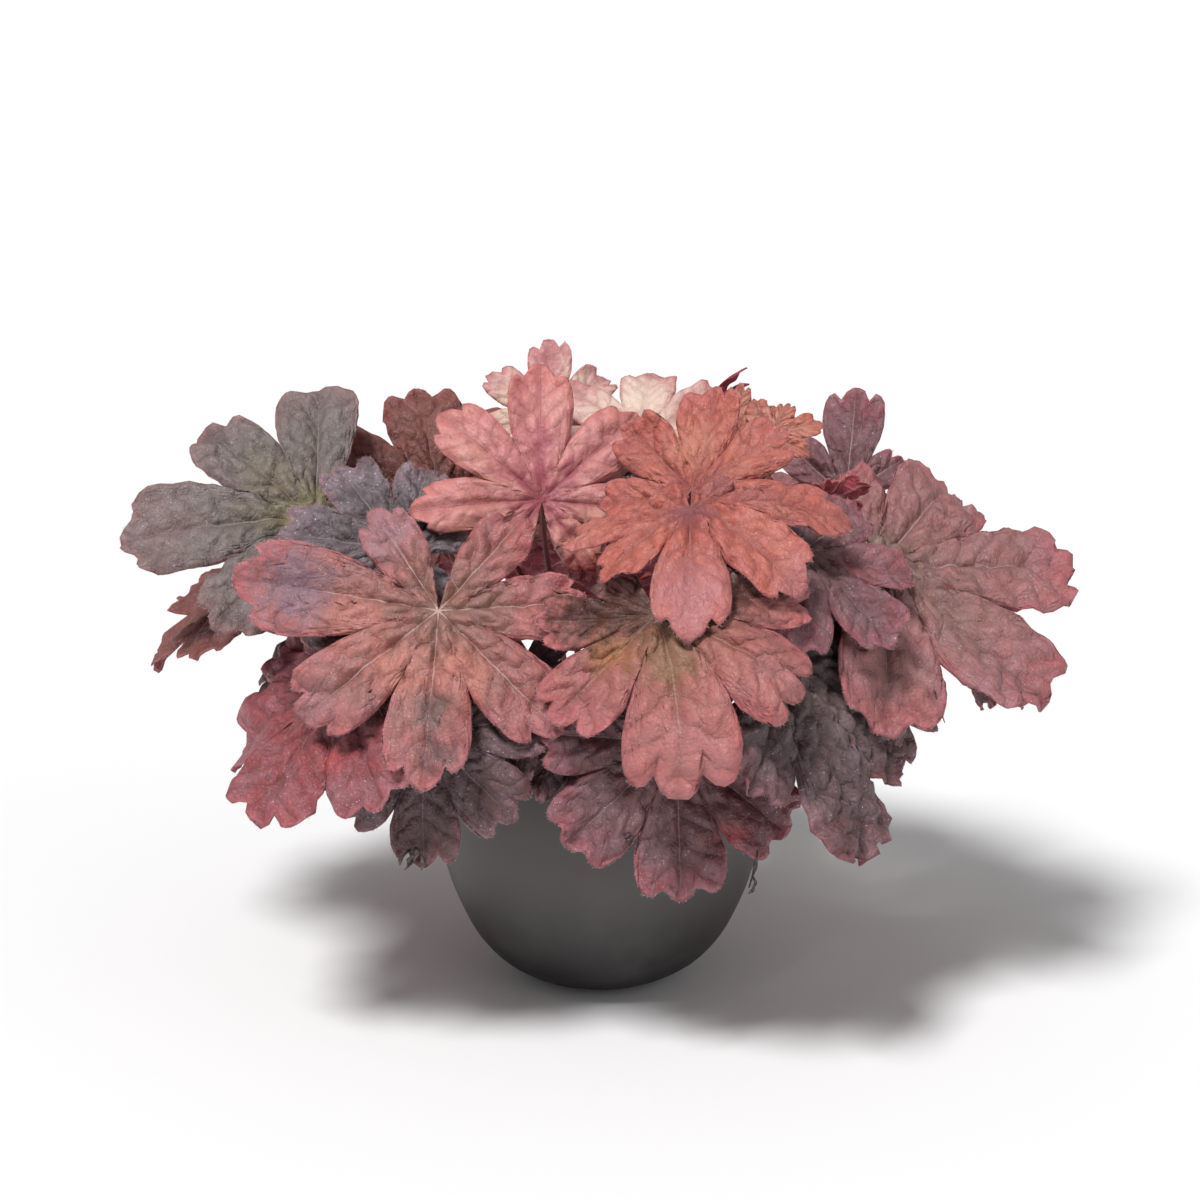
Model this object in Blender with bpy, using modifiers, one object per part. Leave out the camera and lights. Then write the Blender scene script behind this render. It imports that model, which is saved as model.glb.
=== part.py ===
"""Heuchera in a round grey pot: lobed leaves on long stalks, standing in potting soil.

Metres, +Z up. The origin is the centre of the pot's flat underside, and the front of the plant faces -Y.
"""
import math
from collections import namedtuple

import bmesh
import bpy
import numpy as np
from mathutils import Vector
from mathutils.bvhtree import BVHTree
from mathutils.geometry import delaunay_2d_cdt

MM = 0.001

# Pot: outer radius and height of the turned wall, from the foot to the rim, in millimetres
POT_OUTLINE = ((22, 0), (28.5, 2.2), (35, 5.4), (41, 9.6), (45.8, 14.5), (50.5, 21), (54.8, 29.5), (59, 40),
               (62.4, 52), (64.6, 64), (65, 76), (64.4, 88), (63, 100))
POT_WALL = 4.0
POT_FLOOR = 6.0
POT_SIDES = 28
RIM_ROUND = 1.2

# Soil: it fills the pot to below the rim and rises a little round the crown
SOIL_LEVEL = 86.0
SOIL_MOUND = 4.0
SOIL_GAP = 0.5

# Crown: the short woody stock that the leaves grow round
CROWN_OUTLINE = ((0, 99), (3.2, 98), (5.4, 94), (6.2, 88), (5.6, 78), (0, 78))
CROWN_SIDES = 10

# Leaf stalks
STALK_FOOT_RADIUS = 1.6
STALK_TOP_RADIUS = 1.0
STALK_SUNK = 9.0
STALK_POINTS = 7
STALK_GAP = 1.4
HOLE_RADIUS = 2.3
HOLE_SIDES = 6
FOOT_SPACING = 5.4

# Leaf blades
BLADE_THICKNESS = 0.8
LOBE_ANGLES = (-143, -97, -49, 0, 49, 97, 143)
LOBE_LENGTHS = (0.62, 0.86, 0.95, 1.0, 0.95, 0.86, 0.62)
BASE_ANGLE = 167
BASE_REACH = 0.34
LOBE_SHARES = (-0.86, -0.60, -0.30, 0, 0.30, 0.60, 0.86)
BASE_SHARES = (-0.62, 0, 0.62)
TOOTH_SPAN = 0.60
TOOTH_DEPTH = 0.05
VEIN_STATIONS = (0.36, 0.70)
PILLOW = 0.05
BEND_VARIETY = 9

# How a blade is bent clear of the leaves under it
CLEAR_GAP = 2.0
CLEAR_REACH = 16.0
CLEAR_FLAT = 15.0
CLEAR_SLOPE = 0.45
SAMPLE_STEP = 4.0

# One leaf. at: where stalk and blade meet (mm). heading, pitch, roll: where the middle lobe points, how far it
# droops and how the blade leans about it (degrees). size: length of the middle lobe (mm). cut: how deep the
# blade is lobed. bends: how far each of the seven lobes curls up, or down if negative (degrees). taper: 0 for
# broad round lobes, 1 for pointed ones. fold: how far the lobes' sides stand up about their veins.
Leaf = namedtuple("Leaf", "name at heading pitch roll size cut bends tone wave lengths taper fold")


def droop(bend):
    """The same curl for all seven lobes, in degrees."""
    return (bend,) * 7


def leaf(name, at, heading, pitch, roll=0, size=60, cut=0.5, bends=(-20,) * 7, tone="rose", wave=1.8,
         lengths=LOBE_LENGTHS, taper=0.3, fold=0.04):
    """One leaf's measures, with a little more or less curl to each lobe so that no two leaves match."""
    bends = tuple(bend + BEND_VARIETY * math.sin(2.4 * k + at[0] + 0.5 * at[1]) for k, bend in enumerate(bends))
    return Leaf(name, at, heading, pitch, roll, size, cut, bends, tone, wave, lengths, taper, fold)


# The leaves, lowest and outermost first: each one is bent clear of those before it
LEAVES = (
    # Lowest leaves, hanging over the rim
    leaf("pot_front", (-6, -80, 128), 282, 64, 0, 33, 0.36, droop(-8), "plum"),
    leaf("pot_front_left", (-29, -80, 146), 254, 68, 0, 37, 0.36, droop(-8), "plum", taper=0.5),
    leaf("low_front_left", (-62, -80, 124), 262, 62, 0, 44, 0.30, droop(-14), "plum", taper=0.1),
    leaf("low_front_right", (27, -92, 126), 280, 74, 0, 54, 0.32, droop(-6), "plum", taper=0.1),
    leaf("low_right", (97, -40, 142), 314, 56, 0, 44, 0.32, droop(-14), "plum"),
    leaf("low_left", (-110, -22, 144), 192, 44, 0, 38, 0.36, droop(-16), "plum"),
    leaf("left_rose", (-92, -66, 142), 222, 42, 0, 60, 0.32, droop(-14), "rose", taper=0.1),
    leaf("low_left_rear", (-130, 16, 158), 190, 26, 0, 56, 0.40, droop(-14), "russet"),
    leaf("low_right_rear", (122, 20, 146), 12, 44, 0, 54, 0.36, droop(-14), "plum"),
    leaf("low_rear_right", (72, 92, 150), 52, 44, 0, 58, 0.38, droop(-14), "plum"),
    leaf("low_rear", (4, 116, 148), 88, 48, 0, 58, 0.36, droop(-14), "grey"),
    leaf("low_rear_left", (-70, 96, 152), 124, 42, 0, 58, 0.40, droop(-14), "plum", taper=0.5),
    leaf("right_rear_rose", (86, 57, 178), 40, 24, 0, 50, 0.38, droop(-16), "rose", taper=0.4),
    leaf("right_rear_mauve", (98, 30, 184), 80, -66, 0, 44, 0.34, droop(-8), "plum", 1.8,
         (0.30, 0.36, 0.56, 1.0, 0.66, 0.52, 0.34)),
    leaf("right_wrinkled", (66, -90, 158), 322, 58, 0, 76, 0.28, droop(-10), "plum", 2.6,
         (0.40, 0.50, 0.76, 1.0, 0.94, 0.76, 0.42), 0.1, -0.03),
    # Middle leaves
    leaf("left_grey", (-108, -16, 190), 192, -2, 42, 68, 0.42, droop(-12), "grey", 2.2,
         (0.50, 0.98, 0.84, 1.04, 0.86, 0.92, 0.60), 0.8),
    leaf("left_frosted", (-74, -44, 184), 184, -14, 46, 44, 0.38, droop(-8), "plum", taper=0.5),
    leaf("left_rear_plum", (-96, 60, 171), 154, 18, 0, 50, 0.38, droop(-16), "plum", taper=0.4),
    leaf("rear_left_grey", (-52, 72, 172), 138, 16, 0, 54, 0.40, droop(-16), "grey", taper=0.5),
    leaf("rear_left_russet", (-62, 28, 182), 108, -52, 0, 52, 0.36, droop(-6), "russet"),
    leaf("right_big", (104, -22, 172), 326, 22, -18, 80, 0.38, droop(-12), "rose", 2.4,
         (0.30, 0.46, 0.92, 1.0, 0.95, 0.84, 0.60), 0.2),
    leaf("right_mauve", (72, -56, 184), 322, 26, -20, 46, 0.38, droop(-10), "rose", taper=0.4),
    leaf("rear_right_rose", (46, 74, 174), 64, 20, 0, 50, 0.40, droop(-16), "rose"),
    leaf("rear_rose", (-2, 82, 184), 96, 18, 0, 58, 0.40, droop(-16), "rose", taper=0.5),
    leaf("front_left_big", (-58, -84, 173), 262, 58, 4, 62, 0.50, (-2, -8, -12, -10, -10, -8, -2), "coral", 2.2,
         (0.70, 1.18, 0.98, 1.0, 0.95, 0.82, 0.70), 0.85),
    leaf("front_middle", (16, -86, 168), 284, 62, 0, 55, 0.38, (-24, -16, -8, -8, -8, -16, -24), "coral", 2.2,
         (0.40, 0.66, 0.84, 1.0, 0.98, 0.84, 0.44), 0.3),
    # Young leaves of the crown
    leaf("middle_crimson", (2, -36, 166), 300, -24, 0, 24, 0.40, droop(10), "rose"),
    leaf("rear_top", (20, 46, 206), 80, 8, 0, 44, 0.44, droop(-14), "coral", taper=0.6),
    leaf("top_rear_pink", (-19, 38, 216), 94, -56, 0, 32, 0.46, droop(-8), "coral", taper=0.7),
    leaf("top_cream", (16, 12, 214), 84, -34, 0, 40, 0.44, droop(-8), "coral", 1.8,
         (0.62, 0.86, 0.95, 1.0, 0.95, 1.0, 0.62), 0.6),
    leaf("top_pink", (-22, -20, 198), 92, -66, 0, 50, 0.52, droop(-6), "coral", 2.0, taper=0.9),
    leaf("top_orange", (50, 0, 218), 70, -50, 0, 20, 0.46, droop(14), "coral", 1.4, taper=0.6),
    leaf("top_orange_right", (72, -4, 206), 50, -40, 0, 22, 0.46, droop(14), "coral", 1.4, taper=0.6),
    leaf("top_crimson", (92, -32, 184), 300, -50, 0, 20, 0.40, droop(12), "rose", taper=0.5),
    leaf("top_coral_rear", (38, -32, 200), 76, -64, 0, 42, 0.36, droop(8), "coral", 2.2, taper=0.5),
    leaf("front_top_coral", (33, -62, 188), 268, 26, 0, 50, 0.50, (12, -6, -24, -36, -24, -8, 12), "coral", 2.2,
         (0.44, 0.92, 0.70, 0.88, 0.80, 1.10, 0.44), 0.8),
)

MATERIALS = {
    "pot": ((0.115, 0.110, 0.112), 0.45, 0.0),
    "soil": ((0.030, 0.020, 0.014), 0.95, 0.0),
    "crown": ((0.120, 0.060, 0.035), 0.85, 0.0),
    "coral": ((0.560, 0.130, 0.090), 0.55, 0.0),
    "rose": ((0.400, 0.100, 0.095), 0.55, 0.0),
    "plum": ((0.120, 0.055, 0.060), 0.60, 0.0),
    "grey": ((0.150, 0.110, 0.090), 0.65, 0.0),
    "russet": ((0.160, 0.040, 0.030), 0.60, 0.0),
}


def clear_scene():
    for obj in list(bpy.data.objects):
        bpy.data.objects.remove(obj, do_unlink=True)


def material(name):
    """The named finish, made the first time that it is asked for."""
    found = bpy.data.materials.get(name)
    if found:
        return found
    made = bpy.data.materials.new(name)
    made.use_nodes = True
    shader = made.node_tree.nodes["Principled BSDF"]
    colour, roughness, metallic = MATERIALS[name]
    shader.inputs["Base Color"].default_value = (*colour, 1.0)
    shader.inputs["Roughness"].default_value = roughness
    shader.inputs["Metallic"].default_value = metallic
    return made


def add_object(name, mesh, collection, finish=None):
    obj = bpy.data.objects.new(name, mesh)
    collection.objects.link(obj)
    if finish:
        mesh.materials.append(material(finish))
    return obj


def mesh_from(name, build):
    """A mesh that the function build(bm) fills."""
    bm = bmesh.new()
    build(bm)
    mesh = bpy.data.meshes.new(name)
    bm.to_mesh(mesh)
    bm.free()
    return mesh


def evaluated_mesh(obj):
    """The object's mesh with its modifiers applied."""
    bpy.context.view_layer.update()
    graph = bpy.context.evaluated_depsgraph_get()
    return bpy.data.meshes.new_from_object(obj.evaluated_get(graph))


def turned(name, outline, sides, collection, finish):
    """A solid of revolution. The outline starts on the axis at the top and runs down its outer side."""
    def build(bm):
        points = [bm.verts.new((r * MM, 0, z * MM)) for r, z in outline]
        for a, b in zip(points, points[1:]):
            bm.edges.new((a, b))
    obj = add_object(name, mesh_from(name, build), collection, finish)
    screw = obj.modifiers.new("turn", "SCREW")
    screw.steps = screw.render_steps = sides
    screw.use_merge_vertices = True
    screw.merge_threshold = 0.0001
    return obj


def smooth_through(points, per_span):
    """Points on the Catmull-Rom curve through the given points, with per_span steps to each span."""
    ends = [points[0], *points, points[-1]]
    out = []
    for i in range(1, len(ends) - 2):
        a, b, c, d = (np.array(p, float) for p in ends[i - 1:i + 3])
        for step in range(per_span):
            t = step / per_span
            out.append(0.5 * (2 * b + (c - a) * t + (2 * a - 5 * b + 4 * c - d) * t ** 2
                              + (3 * b - a - 3 * c + d) * t ** 3))
    out.append(np.array(points[-1], float))
    return [tuple(p) for p in out]


def wall_radius(z, inset=0.0):
    """The pot's outer radius at a height, less the inset, in millimetres."""
    radii, heights = zip(*POT_OUTLINE)
    return float(np.interp(z, heights, radii)) - inset


def build_pot(collection):
    top = POT_OUTLINE[-1]
    rim = [(top[0] - POT_WALL, top[1] - RIM_ROUND), (top[0] - POT_WALL + RIM_ROUND, top[1]),
           (top[0] - RIM_ROUND, top[1]), (top[0], top[1] - RIM_ROUND)]
    inner = [(wall_radius(z, POT_WALL), z) for z in (12, 20, 32, 48, 66, 84)]
    outer = list(reversed(POT_OUTLINE[:-1]))
    outline = [(0, POT_FLOOR), (wall_radius(POT_FLOOR, POT_WALL + 3), POT_FLOOR), *inner, *rim, *outer, (0, 0)]
    return turned("pot", outline, POT_SIDES, collection, "pot")


def build_crown(collection):
    return turned("crown", CROWN_OUTLINE, CROWN_SIDES, collection, "crown")


def build_soil(collection, cutters, feet):
    """Potting soil that follows the pot's inside, with a plain hole for the crown and for each stalk."""
    inset = POT_WALL + SOIL_GAP
    side = [(wall_radius(z, inset), z) for z in (SOIL_LEVEL, 66, 48, 32, 20, 12)]
    floor = POT_FLOOR + SOIL_GAP
    mound = [(0, SOIL_LEVEL + SOIL_MOUND), (28, SOIL_LEVEL + SOIL_MOUND * 0.7), (48, SOIL_LEVEL + 0.5)]
    outline = [*mound, *side, (wall_radius(POT_FLOOR, inset + 3), floor), (0, floor)]
    soil = turned("soil", outline, POT_SIDES, collection, "soil")

    def drill(bm, centre, radius, bottom, sides):
        made = bmesh.ops.create_cone(bm, cap_ends=True, segments=sides, radius1=radius * MM, radius2=radius * MM,
                                     depth=40 * MM)
        bmesh.ops.translate(bm, verts=made["verts"], vec=(centre[0] * MM, centre[1] * MM, (bottom + 20) * MM))

    def build(bm):
        drill(bm, (0, 0), CROWN_OUTLINE[3][0] + 0.6, CROWN_OUTLINE[-1][1] - 0.5, CROWN_SIDES)
        for foot in feet:
            drill(bm, foot, HOLE_RADIUS, SOIL_LEVEL - STALK_SUNK - 0.6, HOLE_SIDES)
    cutter = add_object("soil_drill", mesh_from("soil_drill", build), cutters)
    cutter.hide_render = True
    cutter.display_type = "WIRE"
    cut = soil.modifiers.new("holes", "BOOLEAN")
    cut.operation = "DIFFERENCE"
    cut.object = cutter
    return soil


def soil_height(x, y):
    reach = math.hypot(x, y)
    return float(np.interp(reach, (0, 28, 48), (SOIL_LEVEL + SOIL_MOUND, SOIL_LEVEL + SOIL_MOUND * 0.7,
                                               SOIL_LEVEL + 0.5)))


def stalk_feet():
    """Where each stalk stands in the soil: under its leaf, with the low leaves outermost."""
    feet = []
    for plant_leaf in LEAVES:
        x, y, _ = plant_leaf.at
        azimuth = math.atan2(y, x)
        reach = 11 + 0.13 * math.hypot(x, y)
        trials = [(reach + out, azimuth + math.radians(turn)) for out in range(-4, 15) for turn in range(-60, 61, 3)]
        for out, angle in sorted(trials, key=lambda t: abs(t[0] - reach) + reach * abs(t[1] - azimuth)):
            foot = (out * math.cos(angle), out * math.sin(angle))
            if all(math.dist(foot, other) > FOOT_SPACING for other in feet):
                break
        feet.append(foot)
    return feet


def frame_of(plant_leaf):
    """Unit vectors of a blade: along its middle lobe, across it, and out of its upper face."""
    heading, pitch, roll = (math.radians(a) for a in (plant_leaf.heading, plant_leaf.pitch, plant_leaf.roll))
    along = Vector((math.cos(pitch) * math.cos(heading), math.cos(pitch) * math.sin(heading), -math.sin(pitch)))
    up = Vector((math.sin(pitch) * math.cos(heading), math.sin(pitch) * math.sin(heading), math.cos(pitch)))
    across = up.cross(along)
    return along, across * math.cos(roll) - up * math.sin(roll), up * math.cos(roll) + across * math.sin(roll)


def lobe_share(angle):
    """Which lobe a direction in the blade falls in, and how far it is from that lobe's vein, from -1 to 1."""
    nearest = min(range(7), key=lambda i: abs(angle - LOBE_ANGLES[i]))
    offset = angle - LOBE_ANGLES[nearest]
    other = nearest + (1 if offset > 0 else -1)
    edge = math.copysign(180, angle) if other in (-1, 7) else (LOBE_ANGLES[nearest] + LOBE_ANGLES[other]) / 2
    return nearest, offset / abs(edge - LOBE_ANGLES[nearest])


def lobe_value(values, angle):
    """A value given for each lobe, blended smoothly between the lobes round the blade."""
    stops = (LOBE_ANGLES[-1] - 360, *LOBE_ANGLES, LOBE_ANGLES[0] + 360)
    around = (values[-1], *values, values[0])
    i = max(k for k in range(len(stops) - 1) if stops[k] <= angle)
    t = (angle - stops[i]) / (stops[i + 1] - stops[i])
    return around[i] + (around[i + 1] - around[i]) * (1 - math.cos(math.pi * t)) / 2


def rim_reach(plant_leaf, lobe, share):
    """The blade's outline: its reach in one lobe at a share of the way from the vein to the notch, -1 to 1."""
    lengths = plant_leaf.lengths
    beside = max(0, min(6, lobe + (1 if share > 0 else -1)))
    notch = (1 - plant_leaf.cut) * min(lengths[lobe], lengths[beside])
    swell = (1 - abs(share) ** (4 - 2 * plant_leaf.taper)) ** (0.5 + 0.3 * plant_leaf.taper)
    tooth = 1 + TOOTH_DEPTH * math.cos(2 * math.pi * share / TOOTH_SPAN) * (1 - abs(share) ** 4)
    return (notch + (lengths[lobe] - notch) * swell) * tooth


def lobe_half(lobe, share):
    """The angle from a lobe's vein to the notch on one side, in degrees."""
    beside = lobe + (1 if share > 0 else -1)
    if 0 <= beside < 7:
        return abs(LOBE_ANGLES[beside] - LOBE_ANGLES[lobe]) / 2
    return BASE_ANGLE - abs(LOBE_ANGLES[lobe])


def outline_of(plant_leaf):
    """The rim's points in the flat blade, in millimetres, and which of them are the lobes' tips."""
    points, tips = [], []

    def add(angle, reach):
        points.append((plant_leaf.size * reach * math.cos(math.radians(angle)),
                       plant_leaf.size * reach * math.sin(math.radians(angle))))
    add(-BASE_ANGLE, BASE_REACH * plant_leaf.lengths[0] / LOBE_LENGTHS[0])
    for lobe, angle in enumerate(LOBE_ANGLES):
        shares = BASE_SHARES if lobe in (0, 6) else LOBE_SHARES
        for share in shares:
            if share == 0:
                tips.append(len(points))
            add(angle + share * lobe_half(lobe, share), rim_reach(plant_leaf, lobe, share))
        if lobe < 6:
            notch = (1 - plant_leaf.cut) * min(plant_leaf.lengths[lobe], plant_leaf.lengths[lobe + 1])
            add((angle + LOBE_ANGLES[lobe + 1]) / 2, notch)
    add(BASE_ANGLE, BASE_REACH * plant_leaf.lengths[-1] / LOBE_LENGTHS[-1])
    add(180, 0.05)
    return points, tips


def flat_blade(plant_leaf):
    """The flat blade as points and triangles, with the veins of the lobes as edges."""
    rim, tips = outline_of(plant_leaf)
    points = [Vector(p) for p in rim]
    edges = []
    centre = len(points)
    points.append(Vector((0, 0)))
    for lobe, angle in enumerate(LOBE_ANGLES):
        along = Vector((math.cos(math.radians(angle)), math.sin(math.radians(angle))))
        last = centre
        for station in VEIN_STATIONS:
            points.append(along * station * plant_leaf.lengths[lobe] * plant_leaf.size)
            edges.append((last, len(points) - 1))
            last = len(points) - 1
        edges.append((last, tips[lobe]))
    for lobe in range(6):
        angle = math.radians((LOBE_ANGLES[lobe] + LOBE_ANGLES[lobe + 1]) / 2)
        reach = 0.62 * (1 - plant_leaf.cut) * plant_leaf.size * min(plant_leaf.lengths[lobe:lobe + 2])
        points.append(Vector((math.cos(angle), math.sin(angle))) * reach)
    made = delaunay_2d_cdt(points, edges, [list(range(len(rim)))], 1, 1e-6)
    return [tuple(p) for p in made[0]], [tuple(t) for t in made[2]]


def blade_point(plant_leaf, axes, u, v, lift=0.0):
    """Where a point of the flat blade lies on the leaf, and the way out of its upper face there, in mm."""
    along, across, up = axes
    reach = math.hypot(u, v)
    angle = math.degrees(math.atan2(v, u))
    curl = math.radians(lobe_value(plant_leaf.bends, angle)) / plant_leaf.size
    if abs(curl) < 1e-6:
        curl = 1e-6
    spoke = along * math.cos(math.radians(angle)) + across * math.sin(math.radians(angle))
    out, rise = math.sin(curl * reach) / curl, (1 - math.cos(curl * reach)) / curl
    normal = up * math.cos(curl * reach) - spoke * math.sin(curl * reach)
    share = lobe_share(angle)[1]
    seed = sum(plant_leaf.at)
    pillow = PILLOW * 4 * abs(share) * (1 - abs(share))
    channel = reach * (pillow + plant_leaf.fold * (share * share - 0.25))
    turn = math.radians(angle)
    ripple = plant_leaf.wave * (reach / plant_leaf.size) ** 2 * (math.sin(turn * 5 + seed)
                                                                 + 0.7 * math.sin(turn * 9 + 2 * seed))
    place = Vector(plant_leaf.at) + spoke * out + up * rise
    return place + normal * (channel + ripple + lift), normal


def samples_of(points, faces):
    """Flat points spread over the triangles, a few millimetres apart."""
    out = []
    for a, b, c in faces:
        a, b, c = (Vector(points[i]) for i in (a, b, c))
        steps = max(1, math.ceil(max((a - b).length, (b - c).length, (c - a).length) / SAMPLE_STEP))
        for i in range(steps + 1):
            for j in range(steps + 1 - i):
                out.append(a + (b - a) * (i / steps) + (c - a) * (j / steps))
    return out


def clearing_lifts(plant_leaf, axes, points, faces, obstacles):
    """How far each flat point rises so that the blade passes over what lies under it."""
    lifts = np.zeros(len(points))
    if not obstacles:
        return lifts
    flat = np.array(points)
    samples = samples_of(points, faces)
    for _ in range(3):
        needs = []
        for sample in samples:
            base, normal = blade_point(plant_leaf, axes, sample.x, sample.y,
                                       near_lift(flat, lifts, sample))
            need = 0.0
            start = base + normal * CLEAR_REACH
            for tree in obstacles:
                hit = tree.ray_cast(start, -normal, CLEAR_REACH + CLEAR_GAP)
                if hit[0] is not None:
                    need = max(need, CLEAR_REACH - hit[3] + CLEAR_GAP)
            if need > 0.05:
                needs.append((sample.x, sample.y, need))
        if not needs:
            break
        needs = np.array(needs)
        apart = np.hypot(flat[:, None, 0] - needs[None, :, 0], flat[:, None, 1] - needs[None, :, 1])
        rise = needs[None, :, 2] - CLEAR_SLOPE * np.maximum(apart - CLEAR_FLAT, 0)
        lifts = lifts + np.maximum(rise.max(axis=1), 0)
    return lifts


def near_lift(flat, lifts, sample):
    """The lift at a place in the blade, weighed from the three nearest points that have one."""
    apart = np.hypot(flat[:, 0] - sample.x, flat[:, 1] - sample.y)
    near = np.argpartition(apart, 3)[:3]
    weight = 1 / (apart[near] + 0.1)
    return float((lifts[near] * weight).sum() / weight.sum())


def stalk_route(plant_leaf, axes, foot, join):
    """Centreline of a stalk: out of the soil, up and outwards, and into the back of the blade."""
    along, _, up = axes
    ground = soil_height(*foot)
    base = Vector((*foot, ground))
    outward = Vector((join.x - foot[0], join.y - foot[1], 0))
    rise = join.z - ground
    arrive = (up * 0.8 + along * 0.45).normalized()
    pull = max(16.0, 0.35 * (join - base).length)
    lead = base + Vector((0, 0, rise * 0.5)) + outward * 0.12
    before = join - arrive * pull
    route = [base - Vector((0, 0, STALK_SUNK)), base]
    for i in range(1, STALK_POINTS - 1):
        t = i / (STALK_POINTS - 2)
        route.append(base * (1 - t) ** 3 + lead * 3 * t * (1 - t) ** 2 + before * 3 * t * t * (1 - t)
                     + join * t ** 3)
    return route


def steer_clear(route, obstacles):
    """Moves a stalk's points sideways until it runs clear of what is already built."""
    near = STALK_FOOT_RADIUS + STALK_GAP
    for _ in range(20):
        moved = False
        for i in range(1, len(route) - 1):
            for share in (0.0, 0.33, 0.67):
                spot = route[i].lerp(route[i + 1], share)
                for tree in obstacles:
                    place, facing, _, apart = tree.find_nearest(spot, near)
                    if place is None:
                        continue
                    away = spot - place
                    if away.dot(facing) < 0:
                        away, apart = -away, -apart
                    away.z = 0
                    if away.length < 1e-6:
                        continue
                    push = away.normalized() * (near - apart) * 0.6
                    if i > 1:
                        route[i] += push
                    if i + 1 < len(route) - 1:
                        route[i + 1] += push * share
                    moved = True
        if not moved:
            break
    return route


def build_stalk(name, route, collection):
    """A tapering round stalk along the route, as a mesh with its caps welded."""
    curve = bpy.data.curves.new(name, "CURVE")
    curve.dimensions = "3D"
    curve.bevel_depth = MM
    curve.bevel_resolution = 1
    curve.use_fill_caps = True
    spline = curve.splines.new("POLY")
    spline.points.add(len(route) - 1)
    for i, place in enumerate(route):
        share = i / (len(route) - 1)
        spline.points[i].co = (*(place * MM), 1)
        spline.points[i].radius = STALK_FOOT_RADIUS + (STALK_TOP_RADIUS - STALK_FOOT_RADIUS) * share
    obj = add_object(name, curve, collection)
    mesh = evaluated_mesh(obj)
    bpy.data.objects.remove(obj, do_unlink=True)
    bm = bmesh.new()
    bm.from_mesh(mesh)
    bmesh.ops.remove_doubles(bm, verts=bm.verts, dist=0.00001)
    bmesh.ops.recalc_face_normals(bm, faces=bm.faces)
    bm.to_mesh(mesh)
    bm.free()
    return add_object(name, mesh, collection)


def join_solids(obj, other):
    """Fuses the other solid into obj and removes it."""
    union = obj.modifiers.new("fuse", "BOOLEAN")
    union.operation = "UNION"
    union.solver = "MANIFOLD"
    union.object = other
    mesh = evaluated_mesh(obj)
    obj.modifiers.clear()
    obj.data = mesh
    bpy.data.objects.remove(other, do_unlink=True)


def build_leaf(plant_leaf, foot, collection, obstacles):
    """One leaf: a thin lobed blade with its stalk fused to it."""
    axes = frame_of(plant_leaf)
    points, faces = flat_blade(plant_leaf)
    lifts = clearing_lifts(plant_leaf, axes, points, faces, obstacles)
    places = [blade_point(plant_leaf, axes, *p, lift)[0] for p, lift in zip(points, lifts)]
    join = min(zip(points, places), key=lambda pair: math.hypot(*pair[0]))[1]

    def build(bm):
        verts = [bm.verts.new(place * MM) for place in places]
        for face in faces:
            bm.faces.new([verts[i] for i in face])
        bmesh.ops.recalc_face_normals(bm, faces=bm.faces)
    name = "leaf_" + plant_leaf.name
    blade = add_object(name, mesh_from(name, build), collection, plant_leaf.tone)
    thick = blade.modifiers.new("thickness", "SOLIDIFY")
    thick.thickness = BLADE_THICKNESS * MM
    thick.offset = 0
    route = steer_clear(stalk_route(plant_leaf, axes, foot, join), obstacles)
    stalk = build_stalk(name + "_stalk", route, collection)
    join_solids(blade, stalk)
    blade.data.shade_smooth()
    return blade


def tree_of(obj):
    """A search tree of an object's surface, in millimetres."""
    mesh = evaluated_mesh(obj)
    points = [v.co / MM for v in mesh.vertices]
    tree = BVHTree.FromPolygons(points, [tuple(p.vertices) for p in mesh.polygons])
    bpy.data.meshes.remove(mesh)
    return tree


def main():
    clear_scene()
    plant = bpy.data.collections.new("heuchera_in_pot")
    cutters = bpy.data.collections.new("cutters")
    for collection in (plant, cutters):
        bpy.context.scene.collection.children.link(collection)
    pot = build_pot(plant)
    feet = stalk_feet()
    build_soil(plant, cutters, feet)
    build_crown(plant)
    obstacles = [tree_of(pot)]
    for plant_leaf, foot in zip(LEAVES, feet):
        made = build_leaf(plant_leaf, foot, plant, obstacles)
        obstacles.append(tree_of(made))


main()
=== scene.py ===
import math
import random
from collections import namedtuple

import bmesh
import bpy
import numpy as np
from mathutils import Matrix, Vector
from mathutils.bvhtree import BVHTree
from mathutils.geometry import delaunay_2d_cdt


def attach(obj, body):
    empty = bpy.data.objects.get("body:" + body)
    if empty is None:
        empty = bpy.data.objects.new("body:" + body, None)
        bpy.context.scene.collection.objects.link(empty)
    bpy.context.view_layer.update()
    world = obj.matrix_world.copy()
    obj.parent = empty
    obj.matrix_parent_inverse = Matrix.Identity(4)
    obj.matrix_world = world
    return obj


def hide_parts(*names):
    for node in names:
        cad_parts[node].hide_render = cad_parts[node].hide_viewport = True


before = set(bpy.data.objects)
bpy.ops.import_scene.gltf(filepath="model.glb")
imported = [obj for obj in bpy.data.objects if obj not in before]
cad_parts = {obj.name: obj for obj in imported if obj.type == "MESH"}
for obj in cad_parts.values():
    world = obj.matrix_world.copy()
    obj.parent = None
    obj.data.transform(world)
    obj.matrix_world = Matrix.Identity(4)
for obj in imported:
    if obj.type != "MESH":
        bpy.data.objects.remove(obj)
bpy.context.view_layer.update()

mm = 0.001

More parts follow.
